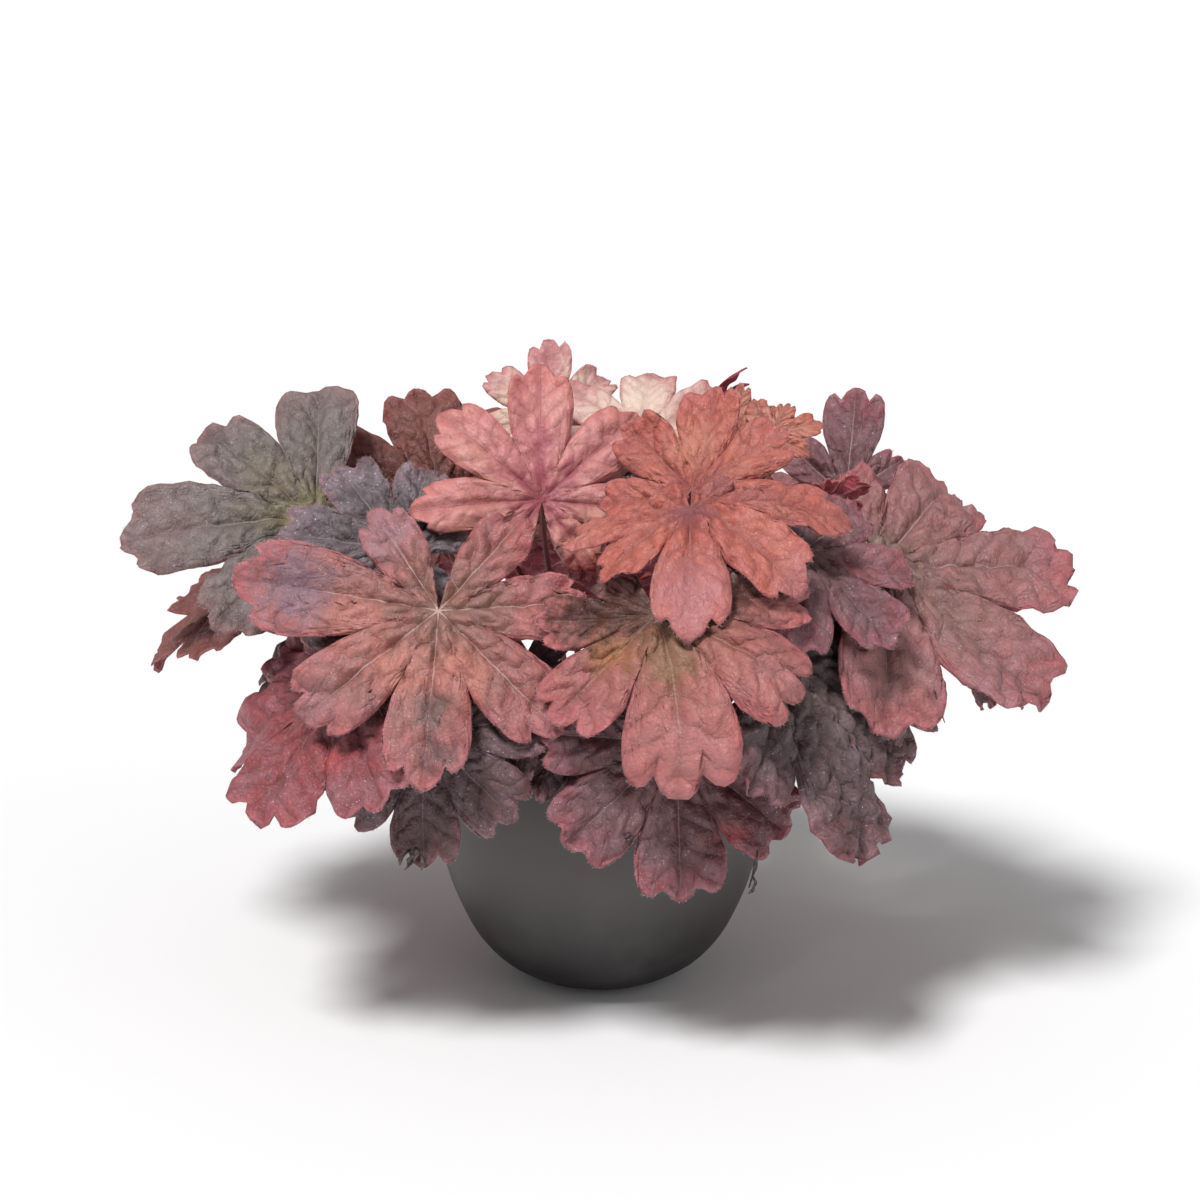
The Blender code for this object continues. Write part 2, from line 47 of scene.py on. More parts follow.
# The plant's sizes, as in the part: millimetres and degrees
potOutline = ((22, 0), (28.5, 2.2), (35, 5.4), (41, 9.6), (45.8, 14.5), (50.5, 21), (54.8, 29.5), (59, 40),
              (62.4, 52), (64.6, 64), (65, 76), (64.4, 88), (63, 100))
soilLevel = 86.0
soilMound = 4.0
stalkFootRadius = 1.6
stalkTopRadius = 1.0
stalkSunk = 9.0
stalkPoints = 7
stalkGap = 1.4
footSpacing = 5.4
lobeAngles = (-143, -97, -49, 0, 49, 97, 143)
lobeLengths = (0.62, 0.86, 0.95, 1.0, 0.95, 0.86, 0.62)
baseAngle = 167
baseReach = 0.34
lobeShares = (-0.86, -0.60, -0.30, 0, 0.30, 0.60, 0.86)
baseShares = (-0.62, 0, 0.62)
toothSpan = 0.60
toothDepth = 0.05
veinStations = (0.36, 0.70)
pillowHeight = 0.05
bendVariety = 9
clearGap = 2.0
clearReach = 16.0
clearFlat = 15.0
clearSlope = 0.45
sampleStep = 4.0

Leaf = namedtuple("Leaf", "name at heading pitch roll size cut bends tone wave lengths taper fold")


# One bend stands for all seven lobes
def leafOf(name, at, heading, pitch, roll, size, cut, bends, tone, wave=1.8, lengths=lobeLengths, taper=0.3,
           fold=0.04):
    lobeBends = (bends,) * 7 if isinstance(bends, int) else bends
    bends = tuple(bend + bendVariety * math.sin(2.4 * k + at[0] + 0.5 * at[1])
                  for k, bend in enumerate(lobeBends))
    return Leaf(name, at, heading, pitch, roll, size, cut, bends, tone, wave, lengths, taper, fold)


leafTable = (
    # Lowest leaves, hanging over the rim
    leafOf("pot_front", (-6, -80, 128), 282, 64, 0, 33, 0.36, -8, "plum"),
    leafOf("pot_front_left", (-29, -80, 146), 254, 68, 0, 37, 0.36, -8, "plum", taper=0.5),
    leafOf("low_front_left", (-62, -80, 124), 262, 62, 0, 44, 0.30, -14, "plum", taper=0.1),
    leafOf("low_front_right", (27, -92, 126), 280, 74, 0, 54, 0.32, -6, "plum", taper=0.1),
    leafOf("low_right", (97, -40, 142), 314, 56, 0, 44, 0.32, -14, "plum"),
    leafOf("low_left", (-110, -22, 144), 192, 44, 0, 38, 0.36, -16, "plum"),
    leafOf("left_rose", (-92, -66, 142), 222, 42, 0, 60, 0.32, -14, "rose", taper=0.1),
    leafOf("low_left_rear", (-130, 16, 158), 190, 26, 0, 56, 0.40, -14, "russet"),
    leafOf("low_right_rear", (122, 20, 146), 12, 44, 0, 54, 0.36, -14, "plum"),
    leafOf("low_rear_right", (72, 92, 150), 52, 44, 0, 58, 0.38, -14, "plum"),
    leafOf("low_rear", (4, 116, 148), 88, 48, 0, 58, 0.36, -14, "grey"),
    leafOf("low_rear_left", (-70, 96, 152), 124, 42, 0, 58, 0.40, -14, "plum", taper=0.5),
    leafOf("right_rear_rose", (86, 57, 178), 40, 24, 0, 50, 0.38, -16, "rose", taper=0.4),
    leafOf("right_rear_mauve", (98, 30, 184), 80, -66, 0, 44, 0.34, -8, "plum", 1.8,
           (0.30, 0.36, 0.56, 1.0, 0.66, 0.52, 0.34)),
    leafOf("right_wrinkled", (66, -90, 158), 322, 58, 0, 76, 0.28, -10, "plum", 2.6,
           (0.40, 0.50, 0.76, 1.0, 0.94, 0.76, 0.42), 0.1, -0.03),
    # Middle leaves
    leafOf("left_grey", (-108, -16, 190), 192, -2, 42, 68, 0.42, -12, "grey", 2.2,
           (0.50, 0.98, 0.84, 1.04, 0.86, 0.92, 0.60), 0.8),
    leafOf("left_frosted", (-74, -44, 184), 184, -14, 46, 44, 0.38, -8, "plum", taper=0.5),
    leafOf("left_rear_plum", (-96, 60, 171), 154, 18, 0, 50, 0.38, -16, "plum", taper=0.4),
    leafOf("rear_left_grey", (-52, 72, 172), 138, 16, 0, 54, 0.40, -16, "grey", taper=0.5),
    leafOf("rear_left_russet", (-62, 28, 182), 108, -52, 0, 52, 0.36, -6, "russet"),
    leafOf("right_big", (104, -22, 172), 326, 22, -18, 80, 0.38, -12, "rose", 2.4,
           (0.30, 0.46, 0.92, 1.0, 0.95, 0.84, 0.60), 0.2),
    leafOf("right_mauve", (72, -56, 184), 322, 26, -20, 46, 0.38, -10, "rose", taper=0.4),
    leafOf("rear_right_rose", (46, 74, 174), 64, 20, 0, 50, 0.40, -16, "rose"),
    leafOf("rear_rose", (-2, 82, 184), 96, 18, 0, 58, 0.40, -16, "rose", taper=0.5),
    leafOf("front_left_big", (-58, -84, 173), 262, 58, 4, 62, 0.50, (-2, -8, -12, -10, -10, -8, -2), "coral",
           2.2, (0.70, 1.18, 0.98, 1.0, 0.95, 0.82, 0.70), 0.85),
    leafOf("front_middle", (16, -86, 168), 284, 62, 0, 55, 0.38, (-24, -16, -8, -8, -8, -16, -24), "coral",
           2.2, (0.40, 0.66, 0.84, 1.0, 0.98, 0.84, 0.44), 0.3),
    # Young leaves of the crown
    leafOf("middle_crimson", (2, -36, 166), 300, -24, 0, 24, 0.40, 10, "rose"),
    leafOf("rear_top", (20, 46, 206), 80, 8, 0, 44, 0.44, -14, "coral", taper=0.6),
    leafOf("top_rear_pink", (-19, 38, 216), 94, -56, 0, 32, 0.46, -8, "coral", taper=0.7),
    leafOf("top_cream", (16, 12, 214), 84, -34, 0, 40, 0.44, -8, "coral", 1.8,
           (0.62, 0.86, 0.95, 1.0, 0.95, 1.0, 0.62), 0.6),
    leafOf("top_pink", (-22, -20, 198), 92, -66, 0, 50, 0.52, -6, "coral", 2.0, taper=0.9),
    leafOf("top_orange", (50, 0, 218), 70, -50, 0, 20, 0.46, 14, "coral", 1.4, taper=0.6),
    leafOf("top_orange_right", (72, -4, 206), 50, -40, 0, 22, 0.46, 14, "coral", 1.4, taper=0.6),
    leafOf("top_crimson", (92, -32, 184), 300, -50, 0, 20, 0.40, 12, "rose", taper=0.5),
    leafOf("top_coral_rear", (38, -32, 200), 76, -64, 0, 42, 0.36, 8, "coral", 2.2, taper=0.5),
    leafOf("front_top_coral", (33, -62, 188), 268, 26, 0, 50, 0.50, (12, -6, -24, -36, -24, -8, 12), "coral",
           2.2, (0.44, 0.92, 0.70, 0.88, 0.80, 1.10, 0.44), 0.8),
)


# The leaf's form, the same as in the part

def soilHeight(x, y):
    return float(np.interp(math.hypot(x, y), (0, 28, 48), (soilLevel + soilMound, soilLevel + soilMound * 0.7,
                                                          soilLevel + 0.5)))


def stalkFeet():
    feet = []
    for leaf in leafTable:
        x, y, _ = leaf.at
        azimuth = math.atan2(y, x)
        reach = 11 + 0.13 * math.hypot(x, y)
        trials = [(reach + out, azimuth + math.radians(turn))
                  for out in range(-4, 15) for turn in range(-60, 61, 3)]
        for out, angle in sorted(trials, key=lambda t: abs(t[0] - reach) + reach * abs(t[1] - azimuth)):
            foot = (out * math.cos(angle), out * math.sin(angle))
            if all(math.dist(foot, other) > footSpacing for other in feet):
                break
        feet.append(foot)
    return feet


def axesOf(leaf):
    heading, pitch, roll = (math.radians(a) for a in (leaf.heading, leaf.pitch, leaf.roll))
    flat, east, north = math.cos(pitch), math.cos(heading), math.sin(heading)
    along = Vector((flat * east, flat * north, -math.sin(pitch)))
    up = Vector((math.sin(pitch) * east, math.sin(pitch) * north, flat))
    across = up.cross(along)
    return along, across * math.cos(roll) - up * math.sin(roll), up * math.cos(roll) + across * math.sin(roll)


def lobeHalf(lobe, share):
    beside = lobe + (1 if share > 0 else -1)
    if 0 <= beside < 7:
        return abs(lobeAngles[beside] - lobeAngles[lobe]) / 2
    return baseAngle - abs(lobeAngles[lobe])


# The rim's reach without its teeth, where share runs from -1 to 1 over the lobe
def lobeOutline(leaf, lobe, share):
    beside = max(0, min(6, lobe + (1 if share > 0 else -1)))
    notch = (1 - leaf.cut) * min(leaf.lengths[lobe], leaf.lengths[beside])
    swell = (1 - abs(share) ** (4 - 2 * leaf.taper)) ** (0.5 + 0.3 * leaf.taper)
    return notch + (leaf.lengths[lobe] - notch) * swell


def rimReach(leaf, lobe, share):
    tooth = 1 + toothDepth * math.cos(2 * math.pi * share / toothSpan) * (1 - abs(share) ** 4)
    return lobeOutline(leaf, lobe, share) * tooth


# The part's own flat blade: its points and triangles
def flatBlade(leaf):
    points, tips = [], []

    def add(angle, reach):
        turn = math.radians(angle)
        points.append(Vector((math.cos(turn), math.sin(turn))) * leaf.size * reach)
    add(-baseAngle, baseReach * leaf.lengths[0] / lobeLengths[0])
    for lobe, angle in enumerate(lobeAngles):
        for share in baseShares if lobe in (0, 6) else lobeShares:
            if share == 0:
                tips.append(len(points))
            add(angle + share * lobeHalf(lobe, share), rimReach(leaf, lobe, share))
        if lobe < 6:
            add((angle + lobeAngles[lobe + 1]) / 2, (1 - leaf.cut) * min(leaf.lengths[lobe:lobe + 2]))
    add(baseAngle, baseReach * leaf.lengths[-1] / lobeLengths[-1])
    add(180, 0.05)
    rim = list(range(len(points)))
    edges = []
    centre = len(points)
    points.append(Vector((0, 0)))
    for lobe, angle in enumerate(lobeAngles):
        last = centre
        for station in veinStations:
            add(angle, station * leaf.lengths[lobe])
            edges.append((last, len(points) - 1))
            last = len(points) - 1
        edges.append((last, tips[lobe]))
    for lobe in range(6):
        middle = (lobeAngles[lobe] + lobeAngles[lobe + 1]) / 2
        add(middle, 0.62 * (1 - leaf.cut) * min(leaf.lengths[lobe:lobe + 2]))
    made = delaunay_2d_cdt(points, edges, [rim], 1, 1e-6)
    return np.array([tuple(p) for p in made[0]]), [tuple(t) for t in made[2]]


# Where flat points lie on the leaf and the way out of its upper face there. All arguments are arrays
def bladePlaces(leaf, axes, u, v, lift):
    along, across, up = (np.array(a) for a in axes)
    reach = np.hypot(u, v)
    angle = np.degrees(np.arctan2(v, u))
    stops = np.array((lobeAngles[-1] - 360, *lobeAngles, lobeAngles[0] + 360), float)
    bends = np.array((leaf.bends[-1], *leaf.bends, leaf.bends[0]), float)
    low = np.clip(np.searchsorted(stops, angle, "right") - 1, 0, len(stops) - 2)
    t = (angle - stops[low]) / (stops[low + 1] - stops[low])
    bend = bends[low] + (bends[low + 1] - bends[low]) * (1 - np.cos(math.pi * t)) / 2
    curl = np.radians(bend) / leaf.size
    curl = np.where(np.abs(curl) < 1e-6, 1e-6, curl)
    turn = np.radians(angle)
    spoke = along * np.cos(turn)[..., None] + across * np.sin(turn)[..., None]
    out, rise = np.sin(curl * reach) / curl, (1 - np.cos(curl * reach)) / curl
    normal = up * np.cos(curl * reach)[..., None] - spoke * np.sin(curl * reach)[..., None]
    angles = np.array(lobeAngles, float)
    nearest = np.abs(angle[..., None] - angles).argmin(-1)
    offset = angle - angles[nearest]
    other = nearest + np.where(offset > 0, 1, -1)
    inner = (angles[nearest] + angles[np.clip(other, 0, 6)]) / 2
    edge = np.where((other < 0) | (other > 6), np.copysign(180, angle), inner)
    share = offset / np.abs(edge - angles[nearest])
    pillow = pillowHeight * 4 * np.abs(share) * (1 - np.abs(share))
    channel = reach * (pillow + leaf.fold * (share * share - 0.25))
    seed = sum(leaf.at)
    waves = np.sin(turn * 5 + seed) + 0.7 * np.sin(turn * 9 + 2 * seed)
    ripple = leaf.wave * (reach / leaf.size) ** 2 * waves
    place = np.array(leaf.at, float) + spoke * out[..., None] + up * rise[..., None]
    return place + normal * (channel + ripple + lift)[..., None], normal


def bladePlace(leaf, axes, u, v, lift):
    places, normals = bladePlaces(leaf, axes, np.array([u]), np.array([v]), np.array([lift]))
    return Vector(places[0]), Vector(normals[0])


# Passes of (flat x, flat y, rise) that bring the blade clear of the leaves under it
def clearingNeeds(leaf, axes, flat, faces, obstacles):
    rounds = []
    lifts = np.zeros(len(flat))
    samples = []
    for face in faces:
        a, b, c = (Vector(flat[i]) for i in face)
        steps = max(1, math.ceil(max((a - b).length, (b - c).length, (c - a).length) / sampleStep))
        samples += [a + (b - a) * (i / steps) + (c - a) * (j / steps)
                    for i in range(steps + 1) for j in range(steps + 1 - i)]
    spots = np.array([tuple(s) for s in samples])
    apart = np.hypot(*(flat[None] - spots[:, None]).transpose(2, 0, 1))
    near = np.argpartition(apart, 3, axis=1)[:, :3]
    weight = 1 / (np.take_along_axis(apart, near, 1) + 0.1)
    for _ in range(3):
        here = (lifts[near] * weight).sum(1) / weight.sum(1)
        bases, normals = bladePlaces(leaf, axes, spots[:, 0], spots[:, 1], here)
        needs = []
        for spot, base, normal in zip(spots, bases, normals):
            base, normal = Vector(base), Vector(normal)
            need = 0.0
            for tree in obstacles:
                hit = tree.ray_cast(base + normal * clearReach, -normal, clearReach + clearGap)
                if hit[0] is not None:
                    need = max(need, clearReach - hit[3] + clearGap)
            if need > 0.05:
                needs.append((*spot, need))
        if not needs:
            break
        rounds.append(np.array(needs))
        lifts = lifts + risesAt(rounds[-1:], flat[:, 0], flat[:, 1])
    return rounds


# How far the flat points rise to pass over what lies under the blade
def risesAt(rounds, u, v, wide=clearFlat):
    total = np.zeros(np.shape(u))
    for needs in rounds:
        best = np.zeros(np.shape(u))
        for x, y, need in needs:
            best = np.maximum(best, need - clearSlope * np.maximum(np.hypot(u - x, v - y) - wide, 0))
        total += best
    return total


def stalkRoute(axes, foot, join):
    along, _, up = axes
    ground = soilHeight(*foot)
    base = Vector((*foot, ground))
    outward = Vector((join.x - foot[0], join.y - foot[1], 0))
    arrive = (up * 0.8 + along * 0.45).normalized()
    pull = max(16.0, 0.35 * (join - base).length)
    lead = base + Vector((0, 0, (join.z - ground) * 0.5)) + outward * 0.12
    before = join - arrive * pull
    route = [base - Vector((0, 0, stalkSunk)), base]
    for i in range(1, stalkPoints - 1):
        t = i / (stalkPoints - 2)
        route.append(base * (1 - t) ** 3 + lead * 3 * t * (1 - t) ** 2 + before * 3 * t * t * (1 - t)
                     + join * t ** 3)
    return route


def steerClear(route, obstacles):
    near = stalkFootRadius + stalkGap
    for _ in range(20):
        moved = False
        for i in range(1, len(route) - 1):
            for share in (0.0, 0.33, 0.67):
                spot = route[i].lerp(route[i + 1], share)
                for tree in obstacles:
                    place, facing, _, apart = tree.find_nearest(spot, near)
                    if place is None:
                        continue
                    away = spot - place
                    if away.dot(facing) < 0:
                        away, apart = -away, -apart
                    away.z = 0
                    if away.length < 1e-6:
                        continue
                    push = away.normalized() * (near - apart) * 0.6
                    if i > 1:
                        route[i] += push
                    if i + 1 < len(route) - 1:
                        route[i + 1] += push * share
                    moved = True
        if not moved:
            break
    return route


def treeOf(node):
    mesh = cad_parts[node].data
    points = [v.co / mm for v in mesh.vertices]
    return BVHTree.FromPolygons(points, [tuple(p.vertices) for p in mesh.polygons])


# Where the finished leaves under the blade come through it, and how far it must rise there
def fineNeeds(leaf, axes, u, v, lift, built):
    picks = (np.unique(np.append(np.arange(1, u.shape[0], 3), u.shape[0] - 1)), np.arange(u.shape[1]))
    grid = np.ix_(*picks)
    bases, normals = bladePlaces(leaf, axes, u[grid], v[grid], lift[grid])
    bases, normals = bases.reshape(-1, 3), normals.reshape(-1, 3)
    low, high = bases.min(0) - 2, bases.max(0) + 2
    near = [tree for tree, bottom, top in built if (bottom < high).all() and (top > low).all()]
    needs = []
    for x, y, base, normal in zip(u[grid].ravel(), v[grid].ravel(), bases, normals):
        start, way = Vector(base + normal * fine["reach"]), Vector(-normal)
        need = 0.0
        for tree in near:
            apart = tree.ray_cast(start, way, fine["reach"] + fine["gap"])[3]
            if apart is not None:
                need = max(need, fine["reach"] + fine["gap"] - apart)
        if need > 0.05:
            needs.append((x, y, need))
    return np.array(needs)


# Shader building

# Adds nodes to one shader tree. Their inputs take values or other nodes' sockets
class Nodes:
    def __init__(self, tree):
        self.tree = tree

    def feed(self, node, inputs):
        for key, value in inputs.items():
            if isinstance(value, bpy.types.NodeSocket):
                self.tree.links.new(value, node.inputs[key])
            else:
                node.inputs[key].default_value = value

    def add(self, kind, output, inputs=None, **settings):
        made = self.tree.nodes.new(kind)
        for key, value in settings.items():
            setattr(made, key, value)
        self.feed(made, inputs or {})
        return made.outputs[output]

    def calc(self, operation, a, b=0.0, clamp=False):
        return self.add("ShaderNodeMath", 0, {0: a, 1: b}, operation=operation, use_clamp=clamp)

    def plus(self, first, *others):
        for other in others:
            first = self.calc("ADD", first, other)
        return first

    def times(self, first, *others):
        for other in others:
            first = self.calc("MULTIPLY", first, other)
        return first

    def mix(self, factor, a, b, blend="MIX"):
        return self.add("ShaderNodeMix", 2, {0: factor, 6: a, 7: b}, data_type="RGBA", blend_type=blend,
                        clamp_factor=True)

    def ranged(self, value, low, high, to0=0.0, to1=1.0):
        limits = {"Value": value, "From Min": low, "From Max": high, "To Min": to0, "To Max": to1}
        return self.add("ShaderNodeMapRange", 0, limits, interpolation_type="SMOOTHSTEP")

    def noise(self, place, scale, detail=2.0, rough=0.5):
        return self.add("ShaderNodeTexNoise", 0, {"Vector": place, "Scale": scale, "Detail": detail,
                                                  "Roughness": rough})

    def bump(self, height, strength, distance):
        return self.add("ShaderNodeBump", 0, {"Height": height, "Strength": strength, "Distance": distance})

    def place(self):
        return self.add("ShaderNodeTexCoord", "Object")

    # A layer of the blade: flat places, places along and across a rib, both in cm, or cells of the net
    def layer(self, name):
        return self.add("ShaderNodeUVMap", 0, uv_map=name)

    def split(self, name):
        return self.add("ShaderNodeSeparateXYZ", 0, {"Vector": self.layer(name)}).node.outputs

    def spread(self):
        return self.add("ShaderNodeAttribute", "Fac", attribute_name="spread")

    def seeded(self, seed):
        return self.add("ShaderNodeVectorMath", 0, {
            0: self.layer("flat"), 1: self.add("ShaderNodeCombineXYZ", 0, {"Z": seed})}, operation="ADD")


# A shader group from its inputs' first values. Three numbers are a vector and four are a colour
def newGroup(name, inputs, outputs=("Color",)):
    group = bpy.data.node_groups.new(name, "ShaderNodeTree")
    kinds = {1: "NodeSocketFloat", 3: "NodeSocketVector", 4: "NodeSocketColor"}
    for key, value in inputs.items():
        made = group.interface.new_socket(key, in_out="INPUT", socket_type=kinds[np.size(value)])
        made.default_value = value
    for key in outputs:
        group.interface.new_socket(key, in_out="OUTPUT", socket_type=kinds[4 if key == "Color" else 1])
    return Nodes(group), group.nodes.new("NodeGroupInput").outputs


def closeGroup(n, **results):
    n.feed(n.tree.nodes.new("NodeGroupOutput"), results)
    return n.tree


# Colour, roughness and relief of a leaf's upper side, from the blade's own coordinates, with painted shade
# and light on its relief
def leafGroup():
    n, given = newGroup("leafSurface", {
        "Main": (0.5, 0.15, 0.12, 1), "Second": (0.5, 0.2, 0.15, 1), "Centre": (0.2, 0.1, 0.06, 1),
        "Rim": (0.4, 0.06, 0.08, 1), "Vein": (0.6, 0.35, 0.3, 1), "Blotch": 0.3, "Seed": 0.0,
    }, ("Color", "Roughness", "Height"))
    seeded, spread = n.seeded(given["Seed"]), n.spread()
    rib, net = n.split("rib"), n.split("net")
    medium = n.noise(seeded, 1.5, 4.0, 0.6)
    mottle = n.noise(seeded, 3.4, 3.0, 0.6)
    grain = n.noise(seeded, 14.0, 3.0, 0.7)

    # How far a cell number is from the middle of its cell, and a mask of the vein between two cells
    def between(value, low, high):
        apart = n.calc("ABSOLUTE", n.calc("SUBTRACT", n.calc("FRACT", value), 0.5))
        return apart, n.ranged(apart, low, high)

    def domed(apart):
        return n.calc("POWER", n.times(apart, 2.0), 1.7)
    side = n.calc("ABSOLUTE", rib["Y"])
    width = n.calc("SUBTRACT", 0.052, n.times(rib["X"], 0.0055))
    ribMask = n.ranged(n.calc("DIVIDE", side, width), 1.0, 0.35)
    jitter = n.times(n.calc("SUBTRACT", mottle, 0.5), 0.14)
    branchNumber = n.plus(net["X"], jitter)
    branch, branchMask = between(branchNumber, 0.466, 0.492)
    crossNumber = n.plus(net["Y"], n.times(n.calc("FLOOR", branchNumber), 0.37), jitter)
    cross, crossMask = between(crossNumber, 0.448, 0.49)
    small = n.add("ShaderNodeTexVoronoi", "Distance", {"Vector": seeded, "Scale": 6.5},
                  feature="DISTANCE_TO_EDGE")
    smallMask = n.ranged(small, 0.11, 0.02)
    crossTop = n.calc("SUBTRACT", 1.0, n.times(domed(cross), 0.6))
    pillow = n.times(n.calc("SUBTRACT", 1.0, domed(branch)), crossTop, n.ranged(side, 0.0, 0.22, 0.25, 1.0))

    toned = n.plus(n.noise(seeded, 0.45, 3.0), n.times(medium, 0.6), n.times(mottle, 0.35))
    colour = n.mix(n.ranged(toned, 0.78, 1.18), given["Main"], given["Second"])
    uneven = n.calc("SUBTRACT", medium, 0.5)
    heart, border = n.plus(spread, n.times(uneven, 0.9)), n.plus(spread, n.times(uneven, 0.5))
    colour = n.mix(n.ranged(heart, 0.60, 0.05, 0.0, 0.9), colour, given["Centre"])
    colour = n.mix(n.ranged(border, 0.72, 1.05, 0.0, 0.75), colour, given["Rim"])
    # A darker copy of the colour: painted shade in the valleys between the puffed cells, in the small sunken
    # creases and beside the midrib, and also the leaf's own dark mottle and blotches. A paler copy: painted
    # light on the tops of the cells
    shadeAndDarkTone = n.mix(1.0, colour, (0.54, 0.40, 0.38, 1), "MULTIPLY")
    light = n.mix(1.0, colour, (1.30, 1.26, 1.22, 1), "MULTIPLY")
    faded = n.ranged(spread, 1.0, 0.45, 0.2, 0.9)
    edge = n.times(n.ranged(spread, 0.950, 0.990, 0.0, 0.55), n.ranged(mottle, 0.36, 0.62, 0.15, 1.0))
    # Masks in turn: painted shade in the cells' valleys, painted light on their tops, mottle, fine dark
    # mottle, painted shade in the small creases and beside the midrib, blotches, veins and the rim line
    for mask, over in (
            (n.ranged(pillow, 0.50, 0.0, 0.0, 0.38), shadeAndDarkTone), (n.ranged(pillow, 0.50, 1.0, 0.0, 0.30), light),
            (n.ranged(mottle, 0.38, 0.70, 0.0, 0.30), given["Second"]),
            (n.ranged(n.noise(seeded, 5.5, 3.0, 0.65), 0.55, 0.75, 0.0, 0.35), shadeAndDarkTone),
            (n.times(smallMask, 0.16), shadeAndDarkTone), (n.times(n.ranged(side, 0.30, 0.03), 0.28), shadeAndDarkTone),
            (n.times(n.ranged(n.noise(seeded, 0.9, 5.0, 0.62), 0.50, 0.68), given["Blotch"]), shadeAndDarkTone),
            (n.times(ribMask, faded), given["Vein"]), (n.times(branchMask, 0.36, faded), given["Vein"]),
            (n.times(crossMask, 0.10), given["Vein"]),
            (edge, n.mix(0.4, given["Rim"], (0.62, 0.22, 0.24, 1)))):
        colour = n.mix(mask, colour, over)
    height = n.plus(n.times(pillow, 0.8), n.times(smallMask, -0.08), n.times(ribMask, 0.12),
                    n.times(mottle, 0.9), n.times(n.noise(seeded, 5.2, 4.0, 0.6), 0.65), n.times(grain, 0.12))
    return closeGroup(n, Color=colour, Roughness=n.plus(0.34, n.times(grain, 0.32)), Height=height)


# A soft-edged patch of another colour at one place of a blade, given in its flat centimetres: a stain, and on
# some leaves a painted shadow
def patchGroup():
    n, given = newGroup("leafPatch", {"Color": (0.5, 0.15, 0.12, 1), "Tint": (0.5, 0.2, 0.15, 1),
                                      "Place": (0, 0, 0), "Radius": 1.0, "Amount": 0.5})
    flat = n.layer("flat")
    apart = n.add("ShaderNodeVectorMath", 1, {0: flat, 1: given["Place"]}, operation="DISTANCE")
    cloud = n.calc("SUBTRACT", n.noise(flat, 2.2, 6.0, 0.72), 0.5)
    worn = n.plus(n.calc("DIVIDE", apart, given["Radius"]), n.times(cloud, 2.6))
    mask = n.calc("MULTIPLY", n.ranged(worn, 1.25, 0.15), given["Amount"], True)
    return closeGroup(n, Color=n.mix(mask, given["Color"], given["Tint"]))


# The bloom of fine pale hairs on a blade: soft bluish patches, and painted glints of single hairs catching
# the light
def frostGroup():
    n, given = newGroup("leafFrost", {"Color": (0.5, 0.15, 0.12, 1), "Frost": 0.3, "Seed": 0.0})
    seeded = n.seeded(given["Seed"])
    patch = n.times(n.ranged(n.noise(seeded, 0.9, 4.0, 0.6), 0.36, 0.66, 0.12, 1.0),
                    n.ranged(n.spread(), 0.2, 1.0, 0.6, 1.25))
    down = n.ranged(n.noise(seeded, 9.0, 5.0, 0.75), 0.30, 0.68, 0.25, 1.0)
    bloom = n.calc("MULTIPLY", n.times(patch, down), given["Frost"], True)
    colour = n.mix(n.times(bloom, 0.50), given["Color"], (0.40, 0.32, 0.37, 1))
    # Painted highlights: small pale specks where single hairs would catch the light
    spots = n.add("ShaderNodeTexVoronoi", "Distance", {"Vector": seeded, "Scale": 7.5}).node.outputs
    some = n.add("ShaderNodeSeparateColor", 0, {"Color": spots["Color"]})
    glint = n.times(n.ranged(spots["Distance"], 0.22, 0.08), n.ranged(some, 0.48, 0.54))
    glint = n.calc("MULTIPLY", glint, n.times(patch, n.times(given["Frost"], 1.3)), True)
    return closeGroup(n, Color=n.mix(glint, colour, (0.72, 0.62, 0.63, 1)))


def principled(name):
    made = bpy.data.materials.new(name)
    made.use_nodes = True
    return made, Nodes(made.node_tree), made.node_tree.nodes["Principled BSDF"]


def leafMaterial(leaf, seed, groups):
    look = looks[lookOf.get(leaf.name, leaf.tone)]
    made, n, shader = principled("leafTop_" + leaf.name)
    surface = n.add("ShaderNodeGroup", "Color", {
        "Main": (*look.main, 1), "Second": (*look.second, 1), "Centre": (*look.centre, 1),
        "Rim": (*look.rim, 1), "Vein": (*look.vein, 1), "Blotch": look.blotch, "Seed": seed,
    }, node_tree=groups["surface"]).node.outputs
    colour = surface["Color"]
    for angle, reach, radius, tint, amount in patches.get(leaf.name, ()):
        turn, out = math.radians(angle), reach * leaf.size / 10
        colour = n.add("ShaderNodeGroup", 0, {
            "Color": colour, "Tint": (*tint, 1), "Place": (out * math.cos(turn), out * math.sin(turn), 0),
            "Radius": radius, "Amount": amount}, node_tree=groups["patch"])
    colour = n.add("ShaderNodeGroup", 0, {"Color": colour, "Frost": look.frost, "Seed": seed + 5},
                   node_tree=groups["frost"])
    n.feed(shader, {
        "Base Color": colour, "Roughness": surface["Roughness"], "Specular IOR Level": 0.45,
        "Normal": n.bump(surface["Height"], look.relief, 0.0014),
        "Sheen Weight": 0.03, "Sheen Roughness": 0.45, "Sheen Tint": (1.0, 0.86, 0.86, 1)})
    return made


